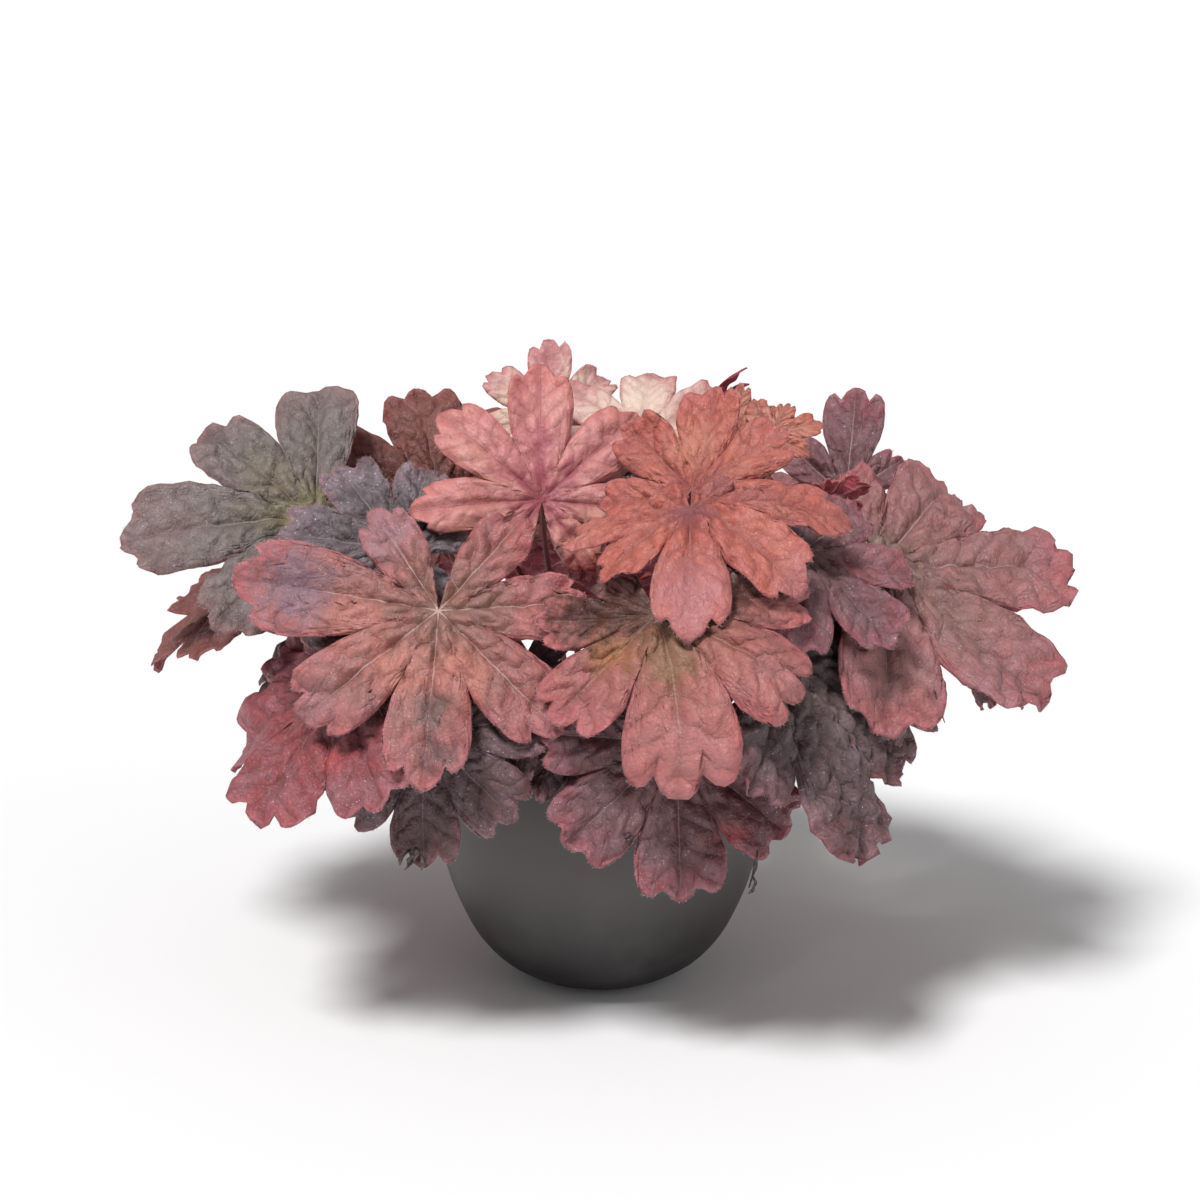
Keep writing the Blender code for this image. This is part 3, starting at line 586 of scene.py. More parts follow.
def underMaterial():
    made, n, shader = principled("leafUnder")
    flat, rib = n.layer("flat"), n.split("rib")
    width = n.calc("SUBTRACT", 0.1, n.times(rib["X"], 0.009))
    ribMask = n.ranged(n.calc("DIVIDE", n.calc("ABSOLUTE", rib["Y"]), width), 1.0, 0.2)
    cells = n.add("ShaderNodeTexVoronoi", "Distance", {"Vector": flat, "Scale": 2.6, "Randomness": 0.9},
                  feature="DISTANCE_TO_EDGE")
    netMask = n.ranged(cells, 0.07, 0.01)
    cloud = n.ranged(n.noise(flat, 0.8, 4.0), 0.35, 0.68)
    colour = n.mix(cloud, (0.235, 0.012, 0.030, 1), (0.34, 0.045, 0.065, 1))
    colour = n.mix(n.times(netMask, 0.5), colour, (0.46, 0.12, 0.14, 1))
    n.feed(shader, {
        "Base Color": n.mix(n.times(ribMask, 0.75), colour, (0.52, 0.22, 0.21, 1)),
        "Normal": n.bump(n.plus(ribMask, n.times(netMask, 0.5)), 0.5, 0.0008),
        "Roughness": n.plus(0.38, n.times(n.noise(flat, 9.0), 0.3)), "Sheen Weight": 0.12})
    return made


def stalkMaterial():
    made, n, shader = principled("leafStalk")
    streak = n.add("ShaderNodeMapping", 0, {"Vector": n.place(), "Scale": (1.0, 1.0, 0.15)})
    lines, cloud = n.noise(streak, 900.0, 3.0), n.noise(n.place(), 60.0, 3.0)
    colour = n.mix(n.ranged(cloud, 0.35, 0.65), (0.20, 0.030, 0.035, 1), (0.30, 0.10, 0.075, 1))
    n.feed(shader, {
        "Base Color": n.mix(n.ranged(lines, 0.55, 0.8, 0.0, 0.5), colour, (0.46, 0.28, 0.24, 1)),
        "Normal": n.bump(lines, 0.4, 0.0004), "Roughness": n.ranged(cloud, 0.2, 0.8, 0.4, 0.6)})
    return made


def hairMaterial():
    made, n, shader = principled("paleHairs")
    colour = n.mix(n.noise(n.place(), 120.0), (0.42, 0.22, 0.23, 1), (0.66, 0.52, 0.52, 1))
    n.feed(shader, {"Base Color": colour, "Roughness": 0.45})
    return made


Look = namedtuple("Look", "main second centre rim vein frost blotch relief", defaults=(0.8,))
looks = {
    "coral": Look((0.40, 0.115, 0.092), (0.47, 0.165, 0.125), (0.40, 0.11, 0.07), (0.42, 0.08, 0.085),
                  (0.50, 0.28, 0.24), 0.25, 0.15),
    "coralBrown": Look((0.415, 0.134, 0.124), (0.32, 0.130, 0.110), (0.26, 0.140, 0.105),
                       (0.46, 0.105, 0.120), (0.52, 0.36, 0.32), 0.42, 0.26),
    "coralOlive": Look((0.42, 0.142, 0.130), (0.36, 0.115, 0.10), (0.21, 0.10, 0.045), (0.48, 0.11, 0.12),
                       (0.30, 0.18, 0.12), 0.25, 0.14),
    "bright": Look((0.43, 0.100, 0.078), (0.50, 0.150, 0.110), (0.34, 0.075, 0.065), (0.50, 0.12, 0.095),
                   (0.34, 0.11, 0.10), 0.22, 0.08),
    "pink": Look((0.56, 0.200, 0.200), (0.60, 0.270, 0.235), (0.36, 0.08, 0.11), (0.54, 0.15, 0.13),
                 (0.35, 0.06, 0.10), 0.2, 0.05, 0.45),
    "cream": Look((0.60, 0.33, 0.31), (0.72, 0.53, 0.44), (0.68, 0.50, 0.38), (0.50, 0.14, 0.15),
                  (0.52, 0.22, 0.21), 0.2, 0.0, 0.45),
    "orange": Look((0.52, 0.160, 0.115), (0.58, 0.25, 0.18), (0.40, 0.08, 0.05), (0.46, 0.10, 0.07),
                   (0.50, 0.25, 0.18), 0.15, 0.0),
    "rose": Look((0.35, 0.132, 0.131), (0.27, 0.122, 0.112), (0.21, 0.122, 0.096), (0.40, 0.085, 0.10),
                 (0.42, 0.30, 0.27), 0.38, 0.22),
    "mauve": Look((0.190, 0.070, 0.078), (0.145, 0.062, 0.065), (0.11, 0.050, 0.045), (0.32, 0.065, 0.085),
                  (0.32, 0.20, 0.20), 0.5, 0.25),
    "crimson": Look((0.22, 0.055, 0.062), (0.28, 0.045, 0.050), (0.13, 0.03, 0.026), (0.36, 0.08, 0.095),
                    (0.32, 0.15, 0.15), 0.45, 0.25),
    "newRed": Look((0.52, 0.050, 0.052), (0.42, 0.03, 0.038), (0.28, 0.03, 0.035), (0.48, 0.10, 0.08),
                   (0.42, 0.14, 0.12), 0.12, 0.05),
    "plum": Look((0.078, 0.040, 0.040), (0.105, 0.052, 0.052), (0.062, 0.042, 0.032), (0.17, 0.052, 0.060),
                 (0.18, 0.13, 0.12), 0.5, 0.35),
    "grey": Look((0.190, 0.152, 0.142), (0.150, 0.130, 0.116), (0.165, 0.140, 0.085), (0.22, 0.125, 0.12),
                 (0.26, 0.22, 0.18), 0.42, 0.25),
    "frosted": Look((0.140, 0.105, 0.118), (0.105, 0.085, 0.088), (0.095, 0.062, 0.062),
                    (0.20, 0.10, 0.12), (0.22, 0.18, 0.19), 0.95, 0.3),
    "russet": Look((0.145, 0.040, 0.032), (0.19, 0.058, 0.043), (0.085, 0.035, 0.025), (0.24, 0.06, 0.05),
                   (0.25, 0.11, 0.09), 0.2, 0.35),
}
lookOf = {
    "front_left_big": "coralBrown", "front_middle": "coralOlive", "front_top_coral": "bright",
    "top_pink": "pink", "top_cream": "cream", "top_rear_pink": "cream", "top_orange": "orange",
    "top_orange_right": "orange", "right_big": "rose", "right_mauve": "mauve", "left_rose": "crimson",
    "left_frosted": "frosted", "right_rear_mauve": "mauve", "low_front_right": "mauve",
    "right_wrinkled": "plum", "top_coral_rear": "bright", "middle_crimson": "newRed", "top_crimson": "newRed",
}
# Shares of the usual wave of the rim and lean of the lobes, and of the usual puff of the cells
ruffle = {"low_left_rear": 0.3, "low_left": 0.6, "low_right": 0.6}
pucker = {
    "low_left_rear": 0.5, "right_wrinkled": 1.7, "front_left_big": 1.15, "front_middle": 1.1,
    "right_big": 1.1, "top_pink": 0.4, "top_cream": 0.4, "top_rear_pink": 0.4, "left_frosted": 1.2,
    "left_grey": 0.8,
}

# Stains and painted shadows by leaf: angle from the main lobe, share of the leaf's size, radius in cm, colour
# and amount
patches = {
    "front_left_big": (
        (-84, 0.52, 1.2, (0.55, 0.20, 0.155), 0.6),
        (-24, 0.42, 1.3, (0.58, 0.23, 0.18), 0.6), (26, 0.40, 1.2, (0.60, 0.23, 0.175), 0.6),
        (-70, 0.45, 1.2, (0.50, 0.19, 0.15), 0.45), (3, 0.60, 0.90, (0.13, 0.070, 0.055), 0.95),
        (5, 0.86, 0.85, (0.11, 0.045, 0.042), 0.9), (-97, 0.86, 1.7, (0.25, 0.140, 0.175), 0.95),
        (-140, 0.60, 1.5, (0.33, 0.19, 0.22), 0.6), (100, 0.30, 1.2, (0.25, 0.14, 0.11), 0.5),
        (-50, 0.90, 1.0, (0.33, 0.16, 0.17), 0.5)),
    "front_middle": (
        (0, 0.28, 1.2, (0.24, 0.135, 0.07), 0.7), (-60, 0.34, 0.9, (0.46, 0.20, 0.07), 0.8),
        # Painted shadow: the three near-black brown patches, on the two upper sides and at the middle, stand
        # for the shade of the leaves above
        (-108, 0.34, 2.0, (0.075, 0.022, 0.012), 1.0), (110, 0.36, 1.7, (0.08, 0.026, 0.018), 0.95),
        (180, 0.10, 1.4, (0.08, 0.03, 0.02), 0.9),
        (0, 0.85, 1.5, (0.50, 0.19, 0.175), 0.5), (49, 0.85, 1.2, (0.50, 0.20, 0.18), 0.5)),
    "front_top_coral": (
        (0, 0.05, 0.8, (0.22, 0.07, 0.085), 0.7), (0, 0.72, 1.7, (0.43, 0.155, 0.160), 0.85),
        (97, 0.55, 1.3, (0.34, 0.11, 0.10), 0.6), (-97, 0.75, 1.2, (0.50, 0.19, 0.15), 0.6),
        (49, 0.85, 1.0, (0.46, 0.16, 0.155), 0.7), (143, 0.35, 0.9, (0.24, 0.075, 0.075), 0.6)),
    "top_coral_rear": (
        (10, 0.50, 1.2, (0.56, 0.24, 0.16), 0.6), (-49, 0.7, 1.1, (0.48, 0.16, 0.12), 0.5),
        (60, 0.75, 0.9, (0.36, 0.10, 0.09), 0.5)),
    "top_pink": (
        (0, 0.45, 0.8, (0.37, 0.09, 0.13), 0.55), (-120, 0.5, 1.4, (0.50, 0.20, 0.14), 0.6),
        (120, 0.5, 1.4, (0.50, 0.20, 0.15), 0.6)),
    "top_cream": ((0, 0.55, 1.3, (0.78, 0.64, 0.52), 0.6), (-60, 0.70, 1.4, (0.52, 0.22, 0.23), 0.7),
                  (-97, 0.98, 0.8, (0.26, 0.015, 0.03), 0.9)),
    "top_rear_pink": ((0, 0.75, 1.0, (0.42, 0.12, 0.14), 0.7), (70, 0.5, 1.0, (0.70, 0.52, 0.36), 0.6)),
    "right_big": (
        (-82, 0.42, 0.8, (0.34, 0.015, 0.025), 0.95),
        (180, 0.12, 1.5, (0.26, 0.20, 0.15), 0.75), (-143, 0.5, 1.5, (0.28, 0.17, 0.15), 0.6),
        (0, 0.45, 1.8, (0.24, 0.125, 0.105), 0.6), (97, 0.85, 1.6, (0.40, 0.12, 0.13), 0.5),
        (49, 0.95, 1.4, (0.38, 0.10, 0.11), 0.5), (-20, 0.9, 1.6, (0.30, 0.155, 0.17), 0.5)),
    "right_wrinkled": (
        (-60, 0.35, 1.6, (0.115, 0.095, 0.070), 0.7), (15, 0.45, 1.8, (0.17, 0.115, 0.115), 0.65),
        (-22, 0.60, 1.3, (0.055, 0.030, 0.030), 0.6),
        (-62, 0.78, 1.4, (0.24, 0.07, 0.08), 0.6), (60, 0.55, 1.5, (0.14, 0.10, 0.095), 0.55)),
    "left_rose": (
        (80, 0.35, 1.9, (0.17, 0.020, 0.020), 0.9), (30, 0.62, 0.7, (0.42, 0.055, 0.06), 0.7),
        (-40, 0.8, 1.4, (0.27, 0.105, 0.115), 0.6)),
    "left_grey": (
        (0, 0.06, 1.5, (0.25, 0.22, 0.095), 0.65), (-49, 0.4, 1.4, (0.21, 0.17, 0.10), 0.5),
        (49, 0.35, 1.2, (0.095, 0.075, 0.06), 0.5), (0, 0.8, 1.5, (0.25, 0.155, 0.145), 0.5)),
    "low_front_right": (
        (30, 0.75, 0.7, (0.40, 0.06, 0.07), 0.6), (-30, 0.6, 1.4, (0.15, 0.07, 0.07), 0.5),
        (70, 0.6, 1.0, (0.17, 0.115, 0.105), 0.5)),
    "right_mauve": ((0, 0.25, 1.0, (0.12, 0.055, 0.05), 0.6), (40, 0.55, 1.6, (0.25, 0.062, 0.072), 0.65),
                    (60, 0.8, 1.0, (0.36, 0.12, 0.13), 0.6)),
    "rear_left_russet": ((0, 0.7, 1.4, (0.24, 0.085, 0.07), 0.6), (60, 0.5, 1.4, (0.07, 0.022, 0.018), 0.7)),
    "low_left_rear": ((0, 0.7, 1.6, (0.27, 0.10, 0.09), 0.6),),
}


# Fine leaves

fine = {
    "columns": 26, "rows": 32,  # In a lobe, and from the middle to the rim, for a leaf of 60 mm
    "fewest": 16, "mostColumns": 28, "mostRows": 36,
    "puff": 2.3, "branchSpacing": 9.0,  # Height and size of the cells between the veins
    "rimWave": 1.6, "rimDroop": 3.0, "lobeLean": 0.16,
    "halfRim": 0.30, "halfMore": 0.22, "halfMiddle": 0.5,  # Half thickness, and what it gains inwards
    "gap": 1.6, "reach": 9.0, "flat": 3.0, "rounds": 5,  # How a blade passes over the finished ones
}
hair = {
    "rimPerMm": 2.2, "rimShort": 0.5, "rimLong": 1.3, "rimHalf": 0.07,
    "stalkPerMm": 4, "stalkShort": 1.9, "stalkLong": 3.0, "stalkHalf": 0.06,
}


# A smooth random field over the flat blade, from about -1 to 1
def waveNoise(u, v, seed, scale):
    draw = random.Random(seed)
    total = np.zeros(np.shape(u))
    for _ in range(6):
        angle = draw.uniform(0, 2 * math.pi)
        pitch = draw.uniform(0.7, 1.5) / scale
        phase = draw.uniform(0, 6.3)
        total += np.sin((u * math.cos(angle) + v * math.sin(angle)) * pitch * 2 * math.pi + phase)
    return total / 3


# The rim's reach with rounded teeth of uneven size
def fineRim(leaf, lobe, share, phase):
    arch = abs(math.cos(math.pi * share / toothSpan)) ** 0.5 * 2 - 1
    tooth = toothDepth * 1.5 * min(1.0, 56 / leaf.size) * arch * (0.4 + 0.6 * ruffle.get(leaf.name, 1.0))
    frill = 0.016 if leaf.tone == "coral" and leaf.size < 55 else 0.005
    small = frill * (abs(math.cos(math.pi * share / 0.21 + phase)) ** 0.6 * 2 - 1)
    return lobeOutline(leaf, lobe, share) * (1 + (tooth + small) * (1 - abs(share) ** 4))


# The blade's spokes from notch to notch: angle, reach of the rim and lobe of each
def spokesOf(leaf, steps, draw):
    spokes = []
    for lobe, vein in enumerate(lobeAngles):
        phase = draw.uniform(0, 3)
        for i in range(steps + (lobe == 6)):
            share = math.sin((i / steps - 0.5) * math.pi) * 0.35 + (i / steps * 2 - 1) * 0.65
            spokes.append((vein + share * lobeHalf(lobe, share), fineRim(leaf, lobe, share, phase), lobe))
    angles, reaches, lobes = zip(*spokes)
    return np.radians(angles), np.array(reaches) * leaf.size, list(lobes)


# Cell numbers of the vein net: whole values lie on the secondary and on the cross veins
def netOf(leaf, along, side, u, v, seed):
    spacing = fine["branchSpacing"] * min(1.1, max(0.5, leaf.size / 58))
    bent = along - 0.95 * side + 0.016 * side ** 2 + 0.22 * spacing * waveNoise(u, v, seed + 1, 11)
    return bent / spacing, side / (0.7 * spacing) + 0.3 * waveNoise(u, v, seed + 4, 8)


# Relief: sunken veins, puffed cells between them, a ruffled rim, and lobes that lean beyond the notches
def reliefOf(leaf, angles, reach, lobes, spread, u, v, seed, draw):
    turn = angles - np.radians(np.array([lobeAngles[i] for i in lobes]))
    side = np.abs(reach * np.sin(turn))
    branch, cross = netOf(leaf, reach * np.cos(turn), side, u, v, seed)
    cell = np.abs(np.sin(np.pi * (cross + 0.37 * np.floor(branch)))) ** 0.9
    puff = np.abs(np.sin(np.pi * branch)) ** 0.9 * (0.5 + 0.5 * cell) * np.clip(side / 3.0, 0, 1) ** 0.8
    near = np.clip(reach / 10, 0, 1)
    relief = fine["puff"] * pucker.get(leaf.name, 0.9) * (puff - 0.4) * near * (1 - 0.3 * spread ** 3)
    relief += (0.6 * waveNoise(u, v, seed + 2, 7) + 0.8 * waveNoise(u, v, seed + 6, 15)) * near
    wavy = ruffle.get(leaf.name, 1.0)
    relief += spread ** 4 * fine["rimWave"] * wavy * waveNoise(u, v, seed + 3, 12)
    lean = np.array([draw.uniform(-fine["lobeLean"], fine["lobeLean"]) for _ in lobeAngles])[lobes]
    beyond = np.clip((reach / leaf.size - (1 - leaf.cut) * 0.9) / 0.35, 0, 1)
    relief += lean * wavy * reach * np.sin(turn) * beyond
    droops = np.clip((spread - 0.72) / 0.28, 0, 1) ** 2 * np.abs(np.sin(angles * 1.7 + seed))
    return (relief - fine["rimDroop"] * wavy * droops) * min(1.0, leaf.size / 56)


# The blade's grid: places on it, ways out of it, flat places, lobes and how near the rim each point is
def fineBlade(leaf, axes, rounds, seed, built):
    steps = max(fine["fewest"], min(fine["mostColumns"], round(fine["columns"] * leaf.size / 60)))
    rows = max(fine["fewest"], min(fine["mostRows"], round(fine["rows"] * leaf.size / 60)))
    draw = random.Random(seed)
    angles, reaches, lobes = spokesOf(leaf, steps, draw)
    part = (np.arange(1, rows + 1) / rows) ** 0.92
    reach = part[:, None] * reaches[None]
    u, v = reach * np.cos(angles), reach * np.sin(angles)
    lift = risesAt(rounds, u, v)
    for _ in range(3):
        smooth = lift.copy()
        smooth[1:-1] = (lift[:-2] + 2 * lift[1:-1] + lift[2:]) / 4
        smooth[:, 1:-1] = (smooth[:, :-2] + 2 * smooth[:, 1:-1] + smooth[:, 2:]) / 4
        lift = smooth
    spread = part[:, None] * np.ones_like(reaches)[None]
    lift = lift + reliefOf(leaf, angles, reach, lobes, spread, u, v, seed, draw)
    for _ in range(fine["rounds"]):
        needs = fineNeeds(leaf, axes, u, v, lift, built)
        if len(needs) == 0:
            break
        lift = lift + risesAt([needs], u, v, fine["flat"])
    places, outward = bladePlaces(leaf, axes, u, v, lift)
    down = np.gradient(places, axis=0)
    normal = np.cross(down, np.gradient(places, axis=1))
    normal /= np.linalg.norm(normal, axis=2, keepdims=True) + 1e-9
    normal = np.where((normal * outward).sum(2, keepdims=True) < 0, -normal, normal)
    return dict(u=u, v=v, spread=spread, places=places, down=down, normal=normal, steps=steps)


# Faces of the closed blade: corners, lobe and side, 0 above and 1 below. The two middle points come last
def bladeFaces(rows, columns, steps):
    count = rows * columns
    faces = []
    for column in range(columns - 1):
        lobe = min(6, column // steps)
        faces.append(((2 * count, column, column + 1), lobe, 0))
        faces.append(((2 * count + 1, count + column + 1, count + column), lobe, 1))
        for a in range(column, column + (rows - 1) * columns, columns):
            faces.append(((a, a + columns, a + columns + 1, a + 1), lobe, 0))
            faces.append(((count + a, count + a + 1, count + a + columns + 1, count + a + columns), lobe, 1))
        a = (rows - 1) * columns + column
        faces.append(((a, count + a, count + a + 1, a + 1), lobe, 0))
    for column, lobe, way in ((0, 0, 1), (columns - 1, 6, -1)):
        for a in range(column, column + (rows - 1) * columns, columns):
            faces.append(((a, count + a, count + a + columns, a + columns)[::way], lobe, 0))
        faces.append(((2 * count, 2 * count + 1, count + column, column)[::way], lobe, 0))
    return faces


# The flat, rib and net coordinates of every corner of the blade's faces
def bladeLayers(leaf, grid, faces, seed):
    u, v = grid["u"], grid["v"]
    count = u.size
    index = [corner % count if corner < 2 * count else count for corners, _, _ in faces for corner in corners]
    lobes = [lobe for corners, lobe, _ in faces for _ in corners]

    def padded(a, b, scale):
        return np.vstack([np.stack([a, b], -1).reshape(-1, 2) / scale, (0, 0)])
    ribs, nets = [], []
    for vein in np.radians(lobeAngles):
        along = u * math.cos(vein) + v * math.sin(vein)
        across = v * math.cos(vein) - u * math.sin(vein)
        ribs.append(padded(along, across, 10))
        nets.append(padded(*netOf(leaf, along, np.abs(across), u, v, seed), 1))
    ribs, nets = np.array(ribs), np.array(nets)
    return {"flat": padded(u, v, 10)[index], "rib": ribs[lobes, index], "net": nets[lobes, index]}


def fineLeaf(leaf, foot, obstacles, built, seed, groups, finishes):
    axes = axesOf(leaf)
    flat, faces = flatBlade(leaf)
    grid = fineBlade(leaf, axes, clearingNeeds(leaf, axes, flat, faces, obstacles), seed, built)
    places, normal, spread = grid["places"], grid["normal"], grid["spread"]
    join = Vector(places[0].mean(0))
    route = steerClear(stalkRoute(axes, foot, join), [obstacles[0], *(entry[0] for entry in built)])
    half = fine["halfRim"] + fine["halfMore"] * (1 - spread[..., None])
    top, bottom = places + normal * half, places - normal * half
    middle, up = np.array(join), np.array(axes[2]) * fine["halfMiddle"]
    blade = np.concatenate([top.reshape(-1, 3), bottom.reshape(-1, 3), [middle + up, middle - up]])
    faces = bladeFaces(*spread.shape, grid["steps"])
    layers = bladeLayers(leaf, grid, faces, seed)
    line, ringPoints, ringFaces = stalkTube(route)
    hairs = [*rimHairs(places, grid["down"], normal, seed), *stalkHairs(line, seed)]
    points = np.concatenate([blade, ringPoints, np.array(hairs).reshape(-1, 3)])
    tubeStart, hairStart = len(blade), len(blade) + len(ringPoints)
    solid = [corners for corners, _, _ in faces] + [tuple(tubeStart + i for i in face) for face in ringFaces]
    loose = [(i, i + 1, i + 2) for i in range(hairStart, len(points), 3)]
    built.append((BVHTree.FromPolygons([tuple(p) for p in points], solid), points.min(0), points.max(0)))
    mesh = bpy.data.meshes.new("leaf_" + leaf.name + "_fine")
    mesh.from_pydata((points * mm).tolist(), [], solid + loose)
    for name, values in layers.items():
        corners = np.zeros((len(mesh.loops), 2), np.float32)
        corners[:len(values)] = values
        mesh.uv_layers.new(name=name).data.foreach_set("uv", corners.ravel())
    near = np.zeros(len(points), np.float32)
    near[:2 * spread.size] = np.tile(spread.ravel(), 2)
    mesh.attributes.new("spread", "FLOAT", "POINT").data.foreach_set("value", near)
    kinds = [kind for _, _, kind in faces] + [2] * len(ringFaces) + [3] * len(loose)
    mesh.polygons.foreach_set("material_index", kinds)
    mesh.shade_smooth()
    for finish in (leafMaterial(leaf, seed * 3.7, groups), *finishes):
        mesh.materials.append(finish)
    piece = linked(mesh.name, mesh)
    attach(piece, "root")
    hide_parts("leaf_" + leaf.name)


# Short pale hairs round the blade's rim, one triangle each
def rimHairs(places, down, normal, seed):
    draw = random.Random(seed + 50)
    outward = down[-1] / (np.linalg.norm(down[-1], axis=1, keepdims=True) + 1e-9)
    edge, up = places[-1], normal[-1]
    hairs = []
    for i in range(len(edge) - 1):
        step = edge[i + 1] - edge[i]
        for _ in range(max(1, round(np.linalg.norm(step) * hair["rimPerMm"]))):
            base = edge[i] + step * draw.random()
            way = outward[i] + step * draw.uniform(-0.4, 0.4) + up[i] * draw.uniform(-0.4, 0.9)
            tip = base + way / np.linalg.norm(way) * draw.uniform(hair["rimShort"], hair["rimLong"])
            wide = step / (np.linalg.norm(step) + 1e-9) * hair["rimHalf"]
            hairs.append((base - wide, base + wide, tip))
    return hairs


# Spreading hairs along the stalk
def stalkHairs(line, seed):
    draw = random.Random(seed + 90)
    hairs = []
    for i in range(6, len(line) - 1):
        step = line[i + 1] - line[i]
        length = np.linalg.norm(step)
        for _ in range(round(length * hair["stalkPerMm"])):
            base = line[i] + step * draw.random()
            way = np.cross(step, [draw.gauss(0, 1) for _ in range(3)])
            way = way / np.linalg.norm(way) + step / length * draw.uniform(-0.5, 0.2)
            wide = step / length * hair["stalkHalf"]
            tip = base + way * draw.uniform(hair["stalkShort"], hair["stalkLong"])
            hairs.append((base + way * 0.8 - wide, base + way * 0.8 + wide, tip))
    return hairs


# Points of a smooth curve through the given ones, five from each to the next
def smoothThrough(route):
    ends = np.array([route[0], *route, route[-1]], float)
    line = []
    for a, b, c, d in zip(ends, ends[1:], ends[2:], ends[3:]):
        for step in range(5):
            t = step / 5
            line.append(0.5 * (2 * b + (c - a) * t + (2 * a - 5 * b + 4 * c - d) * t ** 2
                               + (3 * b - a - 3 * c + d) * t ** 3))
    return line


# Faces of a closed tube of rings
def tubeFaces(rings, sides):
    faces = []
    for i in range(rings - 1):
        for k in range(sides):
            a, b = i * sides + k, i * sides + (k + 1) % sides
            faces.append((a, b, b + sides, a + sides))
    faces.append(tuple(range(sides - 1, -1, -1)))
    faces.append(tuple(range((rings - 1) * sides, rings * sides)))
    return faces


# The middle line, points and faces of a round tapering stalk smoothed through the route
def stalkTube(route, sides=10):
    line = np.array([*smoothThrough(route), route[-1]])
    way = np.gradient(line, axis=0)
    way /= np.linalg.norm(way, axis=1, keepdims=True)
    first = np.cross(way[0], (0.3, 1, 0.1))
    points = []
    for i, (centre, forward) in enumerate(zip(line, way)):
        first = first - forward * (first @ forward)
        first /= np.linalg.norm(first)
        second = np.cross(forward, first)
        share = i / (len(line) - 1)
        radius = stalkFootRadius + (stalkTopRadius - stalkFootRadius) * share
        radius += 0.5 * max(0.0, share - 0.93) / 0.07  # It widens where it meets the blade
        for turn in np.arange(sides) * 2 * math.pi / sides:
            points.append(centre + radius * (first * math.cos(turn) + second * math.sin(turn)))
    return line, np.array(points), tubeFaces(len(line), sides)


# Pot, soil and scraps

def linked(name, data):
    made = bpy.data.objects.new(name, data)
    bpy.context.scene.collection.objects.link(made)
    return made


def pieceFrom(bm, name, finish, smooth=True):
    mesh = bpy.data.meshes.new(name)
    bm.to_mesh(mesh)
    bm.free()
    if smooth:
        mesh.shade_smooth()
    mesh.materials.append(finish)
    return linked(name, mesh)


def potMaterial():
    made, n, shader = principled("potFinish")
    height = n.add("ShaderNodeSeparateXYZ", "Z", {"Vector": n.place()})
    cloud, grain = n.noise(n.place(), 28.0, 4.0), n.noise(n.place(), 1800.0)
    # Painted shade: the colour darkens almost to black towards the foot, over the lowest 75 mm
    colour = n.mix(n.ranged(height, 0.0, 0.075), (0.006, 0.005, 0.005, 1), (0.115, 0.106, 0.106, 1))
    n.feed(shader, {
        "Base Color": n.mix(n.ranged(cloud, 0.45, 0.75, 0.0, 0.25), colour, (0.13, 0.122, 0.12, 1)),
        "Roughness": n.ranged(cloud, 0.3, 0.7, 0.42, 0.52), "Specular IOR Level": 0.22,
        "Normal": n.bump(grain, 0.08, 0.0002)})
    return made


def soilMaterial():
    made, n, shader = principled("soilFinish")
    grain = n.noise(n.place(), 380.0, 8.0, 0.7)
    n.feed(shader, {
        "Base Color": n.mix(n.ranged(grain, 0.35, 0.7), (0.010, 0.006, 0.004, 1), (0.07, 0.045, 0.03, 1)),
        "Normal": n.bump(grain, 1.0, 0.002), "Roughness": n.ranged(grain, 0.2, 0.8, 0.95, 0.8)})
    return made


crumbs = {"count": 420, "reach": 58, "smallest": 0.7, "biggest": 2.3, "offStalk": 3.6, "offCrown": 9}


# Bits of bark and peat lying on the soil, which stand a little out of its surface
def soilCrumbs(finish, feet):
    draw = random.Random(11)
    bm = bmesh.new()
    for _ in range(crumbs["count"]):
        reach, angle = crumbs["reach"] * math.sqrt(draw.random()), draw.uniform(0, 2 * math.pi)
        x, y = reach * math.cos(angle), reach * math.sin(angle)
        nearest = min(math.dist((x, y), foot) for foot in feet)
        if nearest < crumbs["offStalk"] or reach < crumbs["offCrown"]:
            continue
        size = draw.uniform(crumbs["smallest"], crumbs["biggest"])
        verts = bmesh.ops.create_icosphere(bm, subdivisions=1, radius=size * mm)["verts"]
        for vert in verts:
            vert.co *= draw.uniform(0.75, 1.25)
            vert.co.z *= 0.6
        turn = draw.uniform(0, math.pi)
        for vert in verts:
            a, b = vert.co.x * draw.uniform(1.2, 1.3), vert.co.y * 0.8
            vert.co.x = a * math.cos(turn) - b * math.sin(turn) + x * mm
            vert.co.y = a * math.sin(turn) + b * math.cos(turn) + y * mm
            vert.co.z += (soilHeight(x, y) + size * 0.12) * mm
    piece = pieceFrom(bm, "soilCrumbs", finish, False)
    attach(piece, "root")


# The rim is given in radius and height, and the foot in radius, all in millimetres
pot = {
    "rim": ((63, 99.2), (62.9, 99.7), (62.4, 100), (61, 100), (60.0, 100), (59.4, 99.7), (59.0, 99.0)),
    "foot": 21.4, "wall": 4, "steps": 144, "insideHeights": (96, 92, 88, 84, 80),
}


